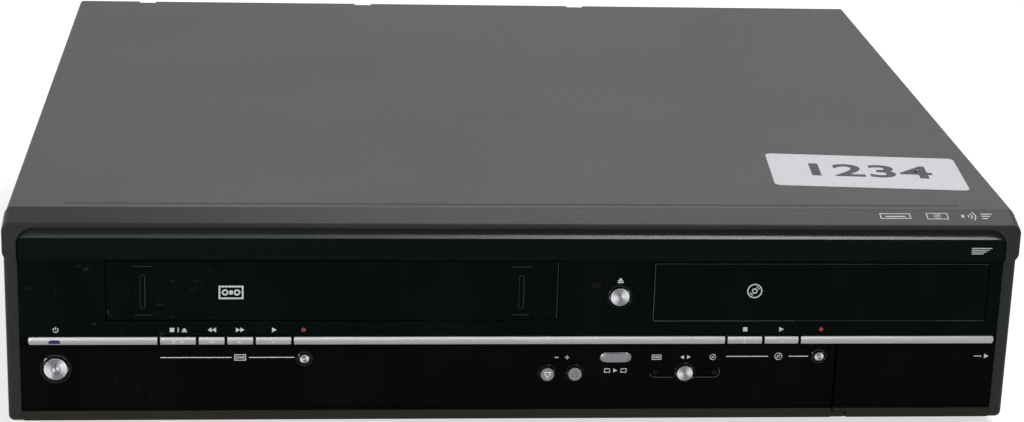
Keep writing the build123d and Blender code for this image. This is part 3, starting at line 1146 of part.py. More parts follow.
# ------------------------------------------------------------------ all pieces
def pieces():
    parts = {
        "top_cover": top_cover(),
        "bottom_chassis": bottom_chassis(),
        "rear_panel": rear_panel(),
        "rubber_feet": rubber_feet(),
        "case_screws": case_screws(),
        "stock_label": stock_label(),
        "front_frame": front_frame(),
        "fascia_band": fascia_band(),
        "upper_gloss_panel": upper_gloss_panel(),
        "lower_fascia": lower_fascia(),
        "silver_trim_bars": silver_trim_bars(),
        "front_lenses": front_lenses(),
        "dubbing_button": dubbing_button(),
        "key_board": key_board(),
        "display_module": display_module(),
        "front_door": front_door(),
        "jack_pocket": jack_pocket(),
        "front_jacks": front_jacks(),
        "cassette_flap": cassette_flap(),
        "tape_deck_chassis": tape_deck_chassis(),
        "lower_drum": lower_drum(),
        "upper_drum": upper_drum(),
        "supply_reel_table": reel_table(-1),
        "takeup_reel_table": reel_table(1),
        "capstan_flywheel": capstan_flywheel(),
        "pinch_roller_arm": pinch_roller_arm(),
        "pinch_roller": pinch_roller(),
        "supply_tape_guide": tape_guide(-1),
        "takeup_tape_guide": tape_guide(1),
        "holder_sliders": holder_sliders(),
        "cassette_holder": cassette_holder(),
        "disc_tray": disc_tray(),
        "tray_front": tray_front(),
        "tray_drive_gear": tray_drive_gear(),
        "disc_drive_frame": disc_drive_frame(),
        "turntable": turntable(),
        "optical_sled": optical_sled(),
        "clamp_puck": clamp_puck(),
        "main_board": main_board(),
        "antenna_tuner": antenna_tuner(),
        "scart_sockets": scart_sockets(),
        "rear_jacks": rear_jacks(),
        "ac_inlet": ac_inlet(),
        "power_board": power_board(),
        "fan_frame": fan_frame(),
        "fan_rotor": fan_rotor(),
    }
    for name, (x0, x1) in LINE_BUTTONS.items():
        parts[name] = line_button(x0, x1)
    for name, place in ROUND_BUTTONS.items():
        parts[name] = round_button(*place)
    return parts


os.makedirs("parts", exist_ok=True)
for node, shape in pieces().items():
    if isinstance(shape, list):
        shape = Compound(children=shape)
    export_step(shape, f"parts/{node}.step")
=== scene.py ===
"""Looks of the home recorder: its finishes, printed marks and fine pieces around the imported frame.

Sizes here are millimetres in the frame's own axes, and become metres where a mesh is made.
"""
from math import atan2, cos, hypot, pi, radians, sin

import bmesh
import bpy
from mathutils import Matrix, Vector


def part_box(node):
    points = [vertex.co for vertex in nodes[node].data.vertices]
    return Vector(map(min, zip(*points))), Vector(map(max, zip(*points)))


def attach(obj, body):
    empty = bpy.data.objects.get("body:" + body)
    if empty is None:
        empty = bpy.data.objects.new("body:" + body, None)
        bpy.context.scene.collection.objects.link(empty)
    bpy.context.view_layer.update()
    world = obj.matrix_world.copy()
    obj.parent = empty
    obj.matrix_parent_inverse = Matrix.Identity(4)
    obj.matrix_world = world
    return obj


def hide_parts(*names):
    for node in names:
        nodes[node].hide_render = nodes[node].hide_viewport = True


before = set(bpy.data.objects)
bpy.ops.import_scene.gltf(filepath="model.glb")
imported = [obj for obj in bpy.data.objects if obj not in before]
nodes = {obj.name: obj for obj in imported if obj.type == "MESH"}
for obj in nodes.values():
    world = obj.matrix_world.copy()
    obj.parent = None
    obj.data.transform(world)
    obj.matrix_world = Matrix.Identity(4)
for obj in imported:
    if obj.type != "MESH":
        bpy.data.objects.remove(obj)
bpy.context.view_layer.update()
MM = 0.001


def span(node):
    """Lowest and highest corner of a node, in millimetres."""
    low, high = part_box(node)
    return low / MM, high / MM


# ---------- planes and places on the front
COVER_HIGH = span("top_cover")[1]
TOP_Z = COVER_HIGH.z
BACK_Y = COVER_HIGH.y
NOSE_Y = span("front_frame")[0].y
BAND_Y = span("fascia_band")[0].y
UPPER_Y = span("upper_gloss_panel")[0].y
FLAP_Y = span("cassette_flap")[0].y
DRAWER_Y = span("tray_front")[0].y
LOWER_Y = span("front_door")[0].y
LIP_TOP = 10.3                # satin foot of the lower fascia
HOOD_DEPTH = 11.2             # the slope of the hood, front to back
HOOD_RISE = 3.3
HOOD_TILT = atan2(HOOD_RISE, HOOD_DEPTH)
INK = 0.03                    # printed ink stands this far off its surface
INK_FOOT = 0.02               # and reaches this far into it
EMBOSS = 0.04                 # raised signs on the caps
CAP_DENT = 0.07               # a cap's signs stand on a face this far behind its rolled edge
SCUFF_END = -120.0            # the handled left end of the front is scuffed up to here
SCUFF_FADE = 30.0             # the length over which the scuffs die away
# above this height the band's bevel is coloured lighter: a painted highlight
BEVEL_Z = 89.3                # foot of the lit bevel along the band
# the wedges are a painted reflection in the caps' base colour
PAINTED_WEDGE_TURN = -0.5             # radians: the bright wedges lean up at their left ends
BLUE_LAMP_END = -150.0        # lamp windows right of this place are smoked

# node of each round button: diameter of its cap, diameter of its dished recess
ROUND_CAPS = {
    "power_button": (10.2, 13.2),
    "tape_record_button": (4.2, 7.0),
    "channel_down_button": (6.1, 8.2),
    "channel_up_button": (6.1, 8.2),
    "select_button": (7.2, 9.2),
    "disc_record_button": (4.2, 6.7),
    "open_close_button": (8.4, 10.6),
}
LINE_CAPS = ("tape_stop_eject_button", "tape_rewind_button", "tape_fast_forward_button",
             "tape_play_button", "disc_stop_button", "disc_play_button")
UPPER_ROW_Z = 50.0            # round buttons above this height are in the upper panel
CAP_PROUD = 0.9               # round caps, in front of their panel
CHANNEL_PROUD = 1.3           # the two channel caps stand out further
RING_PROUD = 0.5
CAP_SIDES = 72
RING_SIDES = 64
LINE_Z = 43.0                 # the silver line
LINE_H = 3.4
LINE_BULGE = 0.5
LINE_FRONT = NOSE_Y + 0.04
LINE_BACK = NOSE_Y + 2.58
KEY_BACK = NOSE_Y + 1.2       # behind this plane the line's buttons keep their CAD shape
# left and right end of each silver bar, and whether each end is rounded
BAR_SPANS = ((-207.8, -153.5, True, False), (-95.6, 90.7, False, False), (124.2, 209.9, False, True))


# ---------- colour and node helpers
def linear(code):
    """An sRGB hex colour as linear RGBA."""
    parts = [int(code[i:i + 2], 16) / 255 for i in (1, 3, 5)]
    return (*[c / 12.92 if c <= 0.04045 else ((c + 0.055) / 1.055) ** 2.4 for c in parts], 1.0)


def feed(node, name, value):
    """Sets an input of a node: to a value, or by a link from a socket or a node's first output."""
    if isinstance(value, bpy.types.Node):
        value = value.outputs[0]
    if isinstance(value, bpy.types.NodeSocket):
        node.id_data.links.new(value, node.inputs[name])
    else:
        node.inputs[name].default_value = value


def add(tree, kind, inputs=None, **settings):
    """Adds a node: settings are its properties, and inputs are what each of its inputs is fed."""
    made = tree.nodes.new(kind)
    for name, value in settings.items():
        setattr(made, name, value)
    for name, value in (inputs or {}).items():
        feed(made, name, value)
    return made


def finish(name, colour, roughness, metallic=0.0, specular=0.5, **sockets):
    """A material whose shader has these constants. Returns it with its tree and shader."""
    material = bpy.data.materials.new(name)
    material.use_nodes = True
    tree = material.node_tree
    tree.nodes.clear()
    shader = add(tree, "ShaderNodeBsdfPrincipled", {
        "Base Color": linear(colour), "Roughness": roughness, "Metallic": metallic,
        "Specular IOR Level": specular, **sockets})
    add(tree, "ShaderNodeOutputMaterial", {"Surface": shader})
    return material, tree, shader


def along(tree, axis):
    """The piece's own place along one axis, in metres."""
    place = add(tree, "ShaderNodeTexCoord").outputs["Object"]
    return add(tree, "ShaderNodeSeparateXYZ", {0: place}).outputs[axis]


def grain(tree, size, detail=2.0, stretch=(1.0, 1.0, 1.0)):
    """Noise whose grains are about size millimetres, on the piece's own place."""
    place = add(tree, "ShaderNodeTexCoord").outputs["Object"]
    stretched = add(tree, "ShaderNodeMapping", {"Vector": place, "Scale": stretch})
    return add(tree, "ShaderNodeTexNoise", {
        "Vector": stretched, "Scale": 1.0 / (size * MM), "Detail": detail})


def spread(tree, value, low=0.0, high=1.0):
    """The middle of a 0 to 1 pattern, mapped to a range."""
    return add(tree, "ShaderNodeMapRange", {
        "Value": value, "From Min": 0.3, "From Max": 0.7, "To Min": low, "To Max": high})


def tint(tree, shader, value, dark, light):
    """The base colour runs with a pattern between two ends, each a hex colour or a socket."""
    ends = [linear(end) if isinstance(end, str) else end for end in (dark, light)]
    mix = add(tree, "ShaderNodeMix", {0: value, 6: ends[0], 7: ends[1]}, data_type="RGBA")
    feed(shader, "Base Color", mix.outputs[2])


def source(shader, name):
    """The socket that one of the shader's inputs is linked to."""
    return shader.inputs[name].links[0].from_socket


def relief(tree, shader, value, depth):
    """Bump of a real depth in millimetres."""
    bump = {"Height": value, "Distance": depth * MM, "Strength": 1.0}
    feed(shader, "Normal", add(tree, "ShaderNodeBump", bump))


# ---------- finishes
def cover_paint():
    """Pre-painted steel, rolled on: a dull grey skin with a fine orange peel and faint patches."""
    material, tree, shader = finish("pre_painted_steel", "#4d504f", 0.5, specular=0.08)
    tint(tree, shader, spread(tree, grain(tree, 90.0)), "#484b4a", "#4d4f4f")
    peel = grain(tree, 0.9)       # the real peel is 0.3 mm, drawn coarser so that it shows
    feed(shader, "Roughness", spread(tree, peel, 0.44, 0.58))
    relief(tree, shader, peel, 0.012)
    return material


def moulded_abs(name, dark, light, roughness, specular, texture=0.8, depth=0.02):
    """Moulded ABS from a spark-eroded tool: an even satin with a fine pebble."""
    material, tree, shader = finish(name, dark, roughness, specular=specular)
    tint(tree, shader, spread(tree, grain(tree, 25.0)), dark, light)
    pebble = grain(tree, texture)
    feed(shader, "Roughness", spread(tree, pebble, roughness - 0.05, roughness + 0.07))
    relief(tree, shader, pebble, depth)
    return material


def bevelled_band():
    """The band: nearly black satin, with a stronger gloss on the bevel along its top, whose lighter
    colour is a painted highlight.
    """
    material, tree, shader = finish("satin_abs_painted_bevel_highlight", "#05090a", 0.24)
    bevel = add(tree, "ShaderNodeMath", {0: along(tree, "Z"), 1: BEVEL_Z * MM},
                operation="GREATER_THAN")
    # painted highlight: the bevel's base colour is lighter, as if lit from above
    tint(tree, shader, bevel, "#05090a", "#25282a")
    level = add(tree, "ShaderNodeMath", {0: bevel, 1: 0.26, 2: 0.03}, operation="MULTIPLY_ADD")
    feed(shader, "Specular IOR Level", level)
    feed(shader, "Roughness", spread(tree, grain(tree, 0.6), 0.22, 0.3))
    return material


def piano_black(name, dark, light, smudge, specular=0.014, worn_tone="#1c2322"):
    """Polished black ABS: a mirror skin that wiping has hazed in soft patches, with hairlines.

    Pale scuffs lie on its handled left end. Returns the material with its tree and shader.
    """
    material, tree, shader = finish(name, dark, 0.06, specular=specular)
    haze = grain(tree, 22.0, 3.0, (1.0, 1.0, 0.6))
    tint(tree, shader, spread(tree, haze), dark, light)
    scratch = add(tree, "ShaderNodeMapRange", {
        "Value": grain(tree, 3.0, 3.0, (0.6, 1.0, 1.0)), "From Min": 0.66, "From Max": 0.76})
    rubbed = add(tree, "ShaderNodeMapRange", {
        "Value": along(tree, "X"), "From Min": SCUFF_END * MM,
        "From Max": (SCUFF_END - SCUFF_FADE) * MM})
    scuff = add(tree, "ShaderNodeMath", {0: scratch, 1: rubbed}, operation="MULTIPLY")
    tint(tree, shader, scuff, source(shader, "Base Color"), worn_tone)
    hairline = grain(tree, 1.2, 2.0, (1.0, 1.0, 0.06))
    patchy = add(tree, "ShaderNodeMath", {0: haze, 1: hairline}, operation="MULTIPLY")
    feed(shader, "Roughness", spread(tree, patchy, 0.03, smudge))
    return material, tree, shader


def smoked_acrylic():
    """The lower fascia: smoked and polished, with a satin lip where the tool was left matt."""
    material, tree, shader = piano_black(
        "smoked_acrylic", "#040503", "#060805", 0.14, worn_tone="#0e110f")
    lip = add(tree, "ShaderNodeMath", {0: along(tree, "Z"), 1: LIP_TOP * MM}, operation="LESS_THAN")
    tint(tree, shader, lip, source(shader, "Base Color"), "#282722")
    gloss = source(shader, "Roughness")
    feed(shader, "Roughness",
         add(tree, "ShaderNodeMath", {0: lip, 1: 0.36, 2: gloss}, operation="MULTIPLY_ADD"))
    return material


def spun_aluminium_painted_wedges():
    """Spun aluminium: turning grooves round the middle, and two bright wedges sideways painted into
    its colour as a reflection.
    """
    material, tree, shader = finish("spun_aluminium_painted_wedges", "#97989b", 0.3, 1.0, Anisotropic=0.85)
    around = add(tree, "ShaderNodeTangent", direction_type="UV_MAP", uv_map="turned")
    feed(shader, "Tangent", around)
    position = add(tree, "ShaderNodeUVMap", uv_map="turned")
    rings = add(tree, "ShaderNodeMapping", {"Vector": position, "Scale": (0.4, 26.0, 1.0)})
    groove = add(tree, "ShaderNodeTexNoise", {"Vector": rings, "Scale": 1.0, "Detail": 2.0})
    feed(shader, "Roughness", spread(tree, groove, 0.24, 0.36))
    turn = add(tree, "ShaderNodeSeparateXYZ", {0: position}).outputs["X"]
    # painted reflection: the base colour runs light and dark with the turn about the middle, in two
    # wedges that stand in for the grooves catching the light
    angle = add(tree, "ShaderNodeMath", {0: turn, 1: 4 * pi, 2: PAINTED_WEDGE_TURN}, operation="MULTIPLY_ADD")
    wave = add(tree, "ShaderNodeMath", {0: angle}, operation="COSINE")
    fine = add(tree, "ShaderNodeMath", {0: groove, 1: 0.8, 2: -0.4}, operation="MULTIPLY_ADD")
    painted_wedges = add(tree, "ShaderNodeMath", {0: wave, 1: fine}, operation="ADD")
    share = add(tree, "ShaderNodeMapRange", {"Value": painted_wedges, "From Min": -0.7, "From Max": 1.1})
    tint(tree, shader, share, "#747578", "#c9cacd")
    return material


def mottled(name, dark, light, roughness, pattern, metallic=0.0, specular=0.5):
    """A finish whose tone and sheen follow one noise: roughness is a range, pattern is for grain."""
    material, tree, shader = finish(name, dark, roughness[0], metallic, specular)
    noise = grain(tree, *pattern)
    tint(tree, shader, spread(tree, noise), dark, light)
    feed(shader, "Roughness", spread(tree, noise, *roughness))
    return material


def sheet_metal(name, dark, light, roughness, size):
    """Plated sheet steel: a pale metal with cloudy crystals and rolling lines."""
    return mottled(name, dark, light, (roughness - 0.07, roughness + 0.08),
                   (size, 3.0, (1.0, 0.35, 1.0)), 0.85)


def plain_plastic(name, dark, light, roughness, specular=0.4):
    """Moulded plastic with a slightly uneven surface."""
    return mottled(name, dark, light, (roughness - 0.05, roughness + 0.05), (6.0,), 0.0, specular)


def ink(name, dark, light):
    """Pad-printed ink: flat and slightly uneven in its cover."""
    material, tree, shader = finish(name, dark, 0.6, specular=0.2)
    tint(tree, shader, spread(tree, grain(tree, 0.8)), dark, light)
    return material


def label_paper():
    """Matt coated label paper: nearly white with a faint cool cast and short fibres."""
    material, tree, shader = finish("label_paper", "#c9c8cd", 0.85, specular=0.1)
    fibre = grain(tree, 2.5, 3.0, (1.0, 0.4, 1.0))
    tint(tree, shader, spread(tree, fibre), "#c0bfc4", "#c4c3c8")
    relief(tree, shader, fibre, 0.002)
    return material


def tinted_window(name, colour, roughness):
    """Clear styrene dyed through: a smooth dark window with a soft gloss."""
    material, tree, shader = finish(name, colour, roughness, specular=0.2)
    feed(shader, "Roughness", spread(tree, grain(tree, 3.0), roughness, roughness + 0.08))
    return material


def lamp_windows():
    """Dyed styrene of the front lamps: blue at the left end of the line, smoked further right."""
    material, tree, shader = finish("lamp_window_styrene", "#17144a", 0.1, specular=0.06)
    beyond = add(tree, "ShaderNodeMath", {0: along(tree, "X"), 1: BLUE_LAMP_END * MM},
                 operation="GREATER_THAN")
    tint(tree, shader, beyond, "#17144a", "#0a0a0b")
    feed(shader, "Roughness", spread(tree, grain(tree, 3.0), 0.08, 0.16))
    return material


def solder_mask():
    """Fibreglass board under green lacquer, with copper tracks that show as paler lines."""
    material, tree, shader = finish("solder_mask", "#1c5a34", 0.4)
    tracks = grain(tree, 2.5, 0.0, (1.0, 0.15, 1.0))
    tint(tree, shader, spread(tree, tracks), "#174a2b", "#2c7a4a")
    return material


COVER_PAINT = cover_paint()
FRAME_ABS = moulded_abs("textured_abs", "#17191a", "#1b1d1e", 0.36, 0.17)
BAND_ABS = bevelled_band()
UPPER_BLACK = piano_black("polished_black_abs", "#030706", "#060b0a", 0.16)[0]
LOWER_BLACK = smoked_acrylic()
RING_BLACK = piano_black("polished_ring_abs", "#050606", "#080a0a", 0.08, 0.1)[0]
# painted highlights: lighter lines laid on the edges of the flap's recesses, the drawer and the select
# groove; the dimmer one is used where the edge is in shade
PAINTED_EDGE_GLEAM = moulded_abs("painted_edge_highlight_abs", "#363937", "#424541", 0.3, 0.1, 0.6, 0.004)
PAINTED_EDGE_DIM = moulded_abs("painted_dim_edge_highlight_abs", "#222727", "#2c3232", 0.3, 0.1, 0.6, 0.004)
# plated ABS: a soft silver mirror with lines drawn out along the strip
SATIN_CHROME = mottled("satin_chrome_plate", "#919190", "#9e9e9c", (0.3, 0.38),
                       (0.5, 2.0, (0.03, 1.0, 1.0)), 1.0)
SPUN = spun_aluminium_painted_wedges()
# caps of the channel and dubbing buttons: a darker, duller turned metal
CHANNEL_METAL = mottled("dull_turned_metal", "#6c6d70", "#808184", (0.3, 0.42), (0.35,), 1.0)
ZINC = sheet_metal("zinc_plated_steel", "#a4a6a6", "#b9bbbb", 0.38, 5.0)
TIN = sheet_metal("tin_plate", "#9c9a94", "#b4b2ab", 0.3, 3.0)
NICKEL = sheet_metal("bright_nickel", "#b8b6b0", "#cfcdc6", 0.18, 2.0)
TURNED = sheet_metal("turned_aluminium", "#b4b5b8", "#cbccce", 0.24, 1.5)
BLACK_STEEL = sheet_metal("blackened_steel", "#1b1b1d", "#29292b", 0.36, 1.0)
RUBBER = plain_plastic("moulded_rubber", "#141414", "#1c1c1c", 0.8, 0.2)
BLACK_PLASTIC = plain_plastic("black_nylon", "#101010", "#171717", 0.5)
ACETAL = plain_plastic("natural_acetal", "#cfcec8", "#dcdbd5", 0.4)
YELLOW_PLASTIC = plain_plastic("yellow_socket_plastic", "#c9a21c", "#d6ae22", 0.45)
WHITE_PLASTIC = plain_plastic("white_socket_plastic", "#d2d2ce", "#dededa", 0.45)
RED_PLASTIC = plain_plastic("red_socket_plastic", "#9c1d1d", "#ab2424", 0.45)
SILVER_INK = ink("silver_grey_ink", "#a4a8a8", "#b6baba")
RED_INK = ink("red_ink", "#7c2a26", "#8a3430")
LABEL_INK = ink("charcoal_ink", "#39383f", "#47464d")
# sign_shade also colours the raised metal signs on the round caps, where its dark colour is painted
# shade of their relief
SIGN_SHADE = ink("sign_shade", "#47484c", "#55565a")
SIGN_LIGHT = ink("sign_light", "#cfd0d3", "#dcdde0")
PAPER = label_paper()
BLUE_WINDOW = tinted_window("blue_lamp_window", "#17144a", 0.12)
DISPLAY_GLASS = tinted_window("display_glass", "#12201d", 0.08)
LAMP_WINDOWS = lamp_windows()
BOARD_GREEN = solder_mask()

# finish, and the CAD nodes that keep their own shape and get it
NODE_FINISHES = (
    (ZINC, "bottom_chassis rear_panel tape_deck_chassis pinch_roller_arm cassette_holder"),
    (BOARD_GREEN, "key_board main_board power_board"),
    (DISPLAY_GLASS, "display_module"),
    (LAMP_WINDOWS, "front_lenses"),
    (TIN, "antenna_tuner"),
    (RUBBER, "pinch_roller rubber_feet"),
    (TURNED, "lower_drum upper_drum capstan_flywheel supply_tape_guide takeup_tape_guide"),
    (ACETAL, "supply_reel_table takeup_reel_table holder_sliders tray_drive_gear clamp_puck"),
    (BLACK_PLASTIC, "jack_pocket front_jacks disc_tray disc_drive_frame turntable optical_sled "
                    "scart_sockets rear_jacks ac_inlet fan_frame fan_rotor"),
)


# ---------- mesh helpers
def linked(name, data):
    """A new object in the scene."""
    made = bpy.data.objects.new(name, data)
    bpy.context.scene.collection.objects.link(made)
    return made


def as_mesh(name, build):
    """A bmesh as a new mesh. The bmesh is freed."""
    mesh = bpy.data.meshes.new(name)
    build.to_mesh(mesh)
    build.free()
    return mesh


def place(name, mesh, material, body, slot, replaced=()):
    """A mesh as a piece that rides on a body. Without a material it keeps the one it has."""
    piece = linked(name, mesh)
    if material:
        mesh.materials.clear()
        mesh.materials.append(material)
    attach(piece, body)
    if replaced:
        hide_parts(*replaced)


def make(name, build, material, body, slot, replaced=(), hard=None):
    """Finishes a bmesh as a piece that rides on a body. Hard is the angle that smooth takes."""
    bmesh.ops.recalc_face_normals(build, faces=build.faces)
    mesh = as_mesh(name, build)
    place(name, mesh, material, body, slot, replaced)
    if hard:
        smooth(mesh, hard)


def smooth(mesh, hard):
    """Smooth shading, with edges sharper than an angle in degrees left hard."""
    mesh.polygons.foreach_set("use_smooth", [True] * len(mesh.polygons))
    build = bmesh.new()
    build.from_mesh(mesh)
    for edge in build.edges:
        edge.smooth = len(edge.link_faces) == 2 and edge.calc_face_angle() < radians(hard)
    build.to_mesh(mesh)
    build.free()


def loops(build, rings, joined=False):
    """Skins rings of points that have the same count, and caps both ends or joins them up."""
    rows = [[build.verts.new(Vector(point) * MM) for point in ring] for ring in rings]
    count = len(rows[0])
    for near, far in zip(rows, rows[1:] + rows[:1] if joined else rows[1:]):
        for i in range(count):
            j = (i + 1) % count
            build.faces.new((near[i], near[j], far[j], far[i]))
    if not joined:
        build.faces.new(rows[0])
        build.faces.new(rows[-1])


def circle(x, z, radius, sides):
    """Points round a middle."""
    angles = [2 * pi * i / sides for i in range(sides)]
    return [(x + radius * cos(a), z + radius * sin(a)) for a in angles]


def hoops(x, z, profile, sides):
    """Rings about an axis along Y, one for each (radius, y) pair of the profile."""
    return [[(a, y, b) for a, b in circle(x, z, radius, sides)] for radius, y in profile]


def merged(node):
    """A node's CAD mesh as one skin: its triangles joined, flat ones made into whole faces."""
    build = bmesh.new()
    build.from_mesh(nodes[node].data)
    bmesh.ops.remove_doubles(build, verts=build.verts, dist=0.002 * MM)
    bmesh.ops.dissolve_limit(build, angle_limit=radians(0.6), verts=build.verts, edges=build.edges)
    return build


def add_rear(build, node, cut):
    """Adds the collar and stem that a button has behind its cap, pressed back onto the cut."""
    rear = merged(node)
    for vert in rear.verts:
        vert.co.y = max(vert.co.y, cut * MM)
    mesh = as_mesh(node + "_rear", rear)
    build.from_mesh(mesh)
    bpy.data.meshes.remove(mesh)


def turned_cap(node, x, z, profile, material):
    """A turned cap about an axis along Y in place of a node's. Its profile starts at its face.

    Its UVs are the turn about the axis, and the share of the largest radius.
    """
    build = bmesh.new()
    uv = build.loops.layers.uv.new("turned")
    loops(build, hoops(x, z, profile, CAP_SIDES))
    largest = max(radius for radius, y in profile)
    for face in build.faces:
        middle = face.calc_center_median() / MM
        heading = atan2(middle.z - z, middle.x - x) / (2 * pi)
        for loop in face.loops:
            point = loop.vert.co / MM
            turn = atan2(point.z - z, point.x - x) / (2 * pi)
            turn += round(heading - turn)
            loop[uv].uv = (turn, hypot(point.x - x, point.z - z) / largest)
    add_rear(build, node, profile[-1][1])
    make(node.replace("button", "cap"), build, material, node.replace("button", "key"),
         "spun_silver", (node,), 32)


def flattened(draft, name):
    """The evaluated result of a draft object as a plain mesh. The draft is removed."""
    graph = bpy.context.evaluated_depsgraph_get()
    mesh = bpy.data.meshes.new_from_object(draft.evaluated_get(graph))
    old = draft.data
    bpy.data.objects.remove(draft)
    (bpy.data.curves if isinstance(old, bpy.types.Curve) else bpy.data.meshes).remove(old)
    mesh.name = name
    return mesh


def softened(name, node, width, material, body, slot):
    """A copy of a node with even shading, and its corners broken if a width is given."""
    mesh = as_mesh(name, merged(node))
    smooth(mesh, 35)
    draft = linked(name + "_draft", mesh)
    if width:
        bevel = draft.modifiers.new("edge", "BEVEL")
        bevel.width = width * MM
        bevel.segments = 2
        bevel.limit_method = "ANGLE"
        bevel.angle_limit = radians(38)
        bevel.use_clamp_overlap = True
    draft.modifiers.new("even", "WEIGHTED_NORMAL").keep_sharp = True
    place(name, flattened(draft, name), material, body, slot, (node,))


# ---------- flat signs
def rectangle(x, z, width, height):
    w, h = width / 2, height / 2
    return [[(x - w, z - h), (x + w, z - h), (x + w, z + h), (x - w, z + h)]]


def rule(x0, x1, z, thick=0.4):
    return rectangle((x0 + x1) / 2, z, x1 - x0, thick)


def frame_of(x, z, width, height, line):
    """The outline of a rectangle, as four bars."""
    bars = rectangle(x, z + (height - line) / 2, width, line)
    bars += rectangle(x, z - (height - line) / 2, width, line)
    bars += rectangle(x - (width - line) / 2, z, line, height - 2 * line)
    return bars + rectangle(x + (width - line) / 2, z, line, height - 2 * line)


def triangle(x, z, width, height, way):
    """A solid arrowhead: way is the direction of its tip, in quarter turns from right."""
    points = [(-width / 2, -height / 2), (width / 2, 0.0), (-width / 2, height / 2)]
    turn = way * pi / 2
    return [[(x + a * cos(turn) - b * sin(turn), z + a * sin(turn) + b * cos(turn))
             for a, b in points]]


def stroke(start, end, line):
    dx, dz = end[0] - start[0], end[1] - start[1]
    length = hypot(dx, dz)
    nx, nz = -dz / length * line / 2, dx / length * line / 2
    return [(start[0] + nx, start[1] + nz), (start[0] - nx, start[1] - nz),
            (end[0] - nx, end[1] - nz), (end[0] + nx, end[1] + nz)]


def triangle_line(x, z, size, line, way):
    """An arrowhead drawn as three strokes: way is as for triangle."""
    turns = [way * pi / 2 + k * 2 * pi / 3 for k in range(3)]
    corners = [(x + size * cos(a), z + size * sin(a)) for a in turns]
    return [stroke(corners[k], corners[(k + 1) % 3], line) for k in range(3)]


def arc(x, z, radius, line, start=0.0, end=360.0, steps=24):
    """A ring or part of one as a strip, in two halves where it comes close to its own start."""
    outline = []
    parts = 2 if end - start > 300 else 1
    for part in range(parts):
        a0 = radians(start + (end - start) * part / parts)
        a1 = radians(start + (end - start) * (part + 1) / parts)
        angles = [a0 + (a1 - a0) * i / steps for i in range(steps + 1)]
        outer, inner = radius + line / 2, radius - line / 2
        outline.append([(x + outer * cos(a), z + outer * sin(a)) for a in angles]
                       + [(x + inner * cos(a), z + inner * sin(a)) for a in reversed(angles)])
    return outline


def dot(x, z, radius):
    return [circle(x, z, radius, 20)]


def cassette_sign(x, z, width):
    """A generic cassette: its case, two reels and the window between them."""
    height = width * 0.58
    line = width * 0.07
    sign = frame_of(x, z, width, height, line)
    for side in (-1, 1):
        sign += arc(x + side * width * 0.24, z, width * 0.1, line, steps=10)
    return sign + rectangle(x, z, width * 0.14, height * 0.3)


def disc_sign(x, z, radius):
    """A generic disc: its rim, its hub and a glint."""
    line = radius * 0.16
    sign = arc(x, z, radius - line / 2, line, steps=20) + arc(x, z, radius * 0.3, line, steps=10)
    for start in (20, 200):
        sign += arc(x, z, radius * 0.62, line * 0.8, start, start + 50, 6)
    return sign


def eject_sign(x, z, width):
    bar = rectangle(x, z - width * 0.38, width, width * 0.2)
    return triangle(x, z + width * 0.14, width * 0.6, width, 1) + bar


def double_arrow(x, z, size, way):
    step = size * 0.42
    return triangle(x - step, z, size * 0.8, size, way) + triangle(x + step, z, size * 0.8, size, way)


def moved(outlines, x, z):
    """Outlines drawn about the origin, taken to their place."""
    return [[(x + a, z + b) for a, b in outline] for outline in outlines]


def on_plane(y):
    """Signs on an upright face: lift is towards the front."""
    return lambda a, b, lift: (a, y - lift, b)


def on_line(a, b, lift):
    """Signs on the bulged face of the silver line."""
    return a, bar_y(b) - lift, b


def on_hood(a, b, lift):
    """Signs on the slope of the hood: b runs up the slope from its lower edge."""
    y = NOSE_Y + b * cos(HOOD_TILT) - lift * sin(HOOD_TILT)
    z = TOP_Z - HOOD_RISE + b * sin(HOOD_TILT) + lift * cos(HOOD_TILT)
    return a, y, z


def signs(name, outlines, surface, material, body, slot, height=INK):
    """Thin prisms of ink or metal, one for each outline, sunk a little into the surface."""
    build = bmesh.new()
    for outline in outlines:
        loops(build, [[surface(a, b, lift) for a, b in outline] for lift in (height, -INK_FOOT)])
    make(name, build, material, body, slot)


# ---------- case and front
for material, names in NODE_FINISHES:
    for node in names.split():
        nodes[node].data.materials.clear()
        nodes[node].data.materials.append(material)

softened("painted_cover", "top_cover", 0.0, COVER_PAINT, "case", "cover_paint")
softened("hood_and_columns", "front_frame", 0.0, FRAME_ABS, "case", "frame_plastic")
softened("bevelled_band", "fascia_band", 0.12, BAND_ABS, "case", "band_plastic")
softened("upper_panel", "upper_gloss_panel", 0.2, UPPER_BLACK, "case", "gloss_black")
softened("lower_panel", "lower_fascia", 0.12, LOWER_BLACK, "case", "gloss_black")
softened("jack_door", "front_door", 0.15, LOWER_BLACK, "door", "gloss_black")
softened("tape_flap", "cassette_flap", 0.2, UPPER_BLACK, "flap", "gloss_black")
softened("drawer_front", "tray_front", 0.2, UPPER_BLACK, "disc_drawer", "gloss_black")


# ---------- silver line
def bar_y(z):
    """Front of the silver line at a height: a shallow curve, highest along its middle."""
    return LINE_FRONT + LINE_BULGE * min(abs(z - LINE_Z) / (LINE_H / 2), 1.0) ** 2


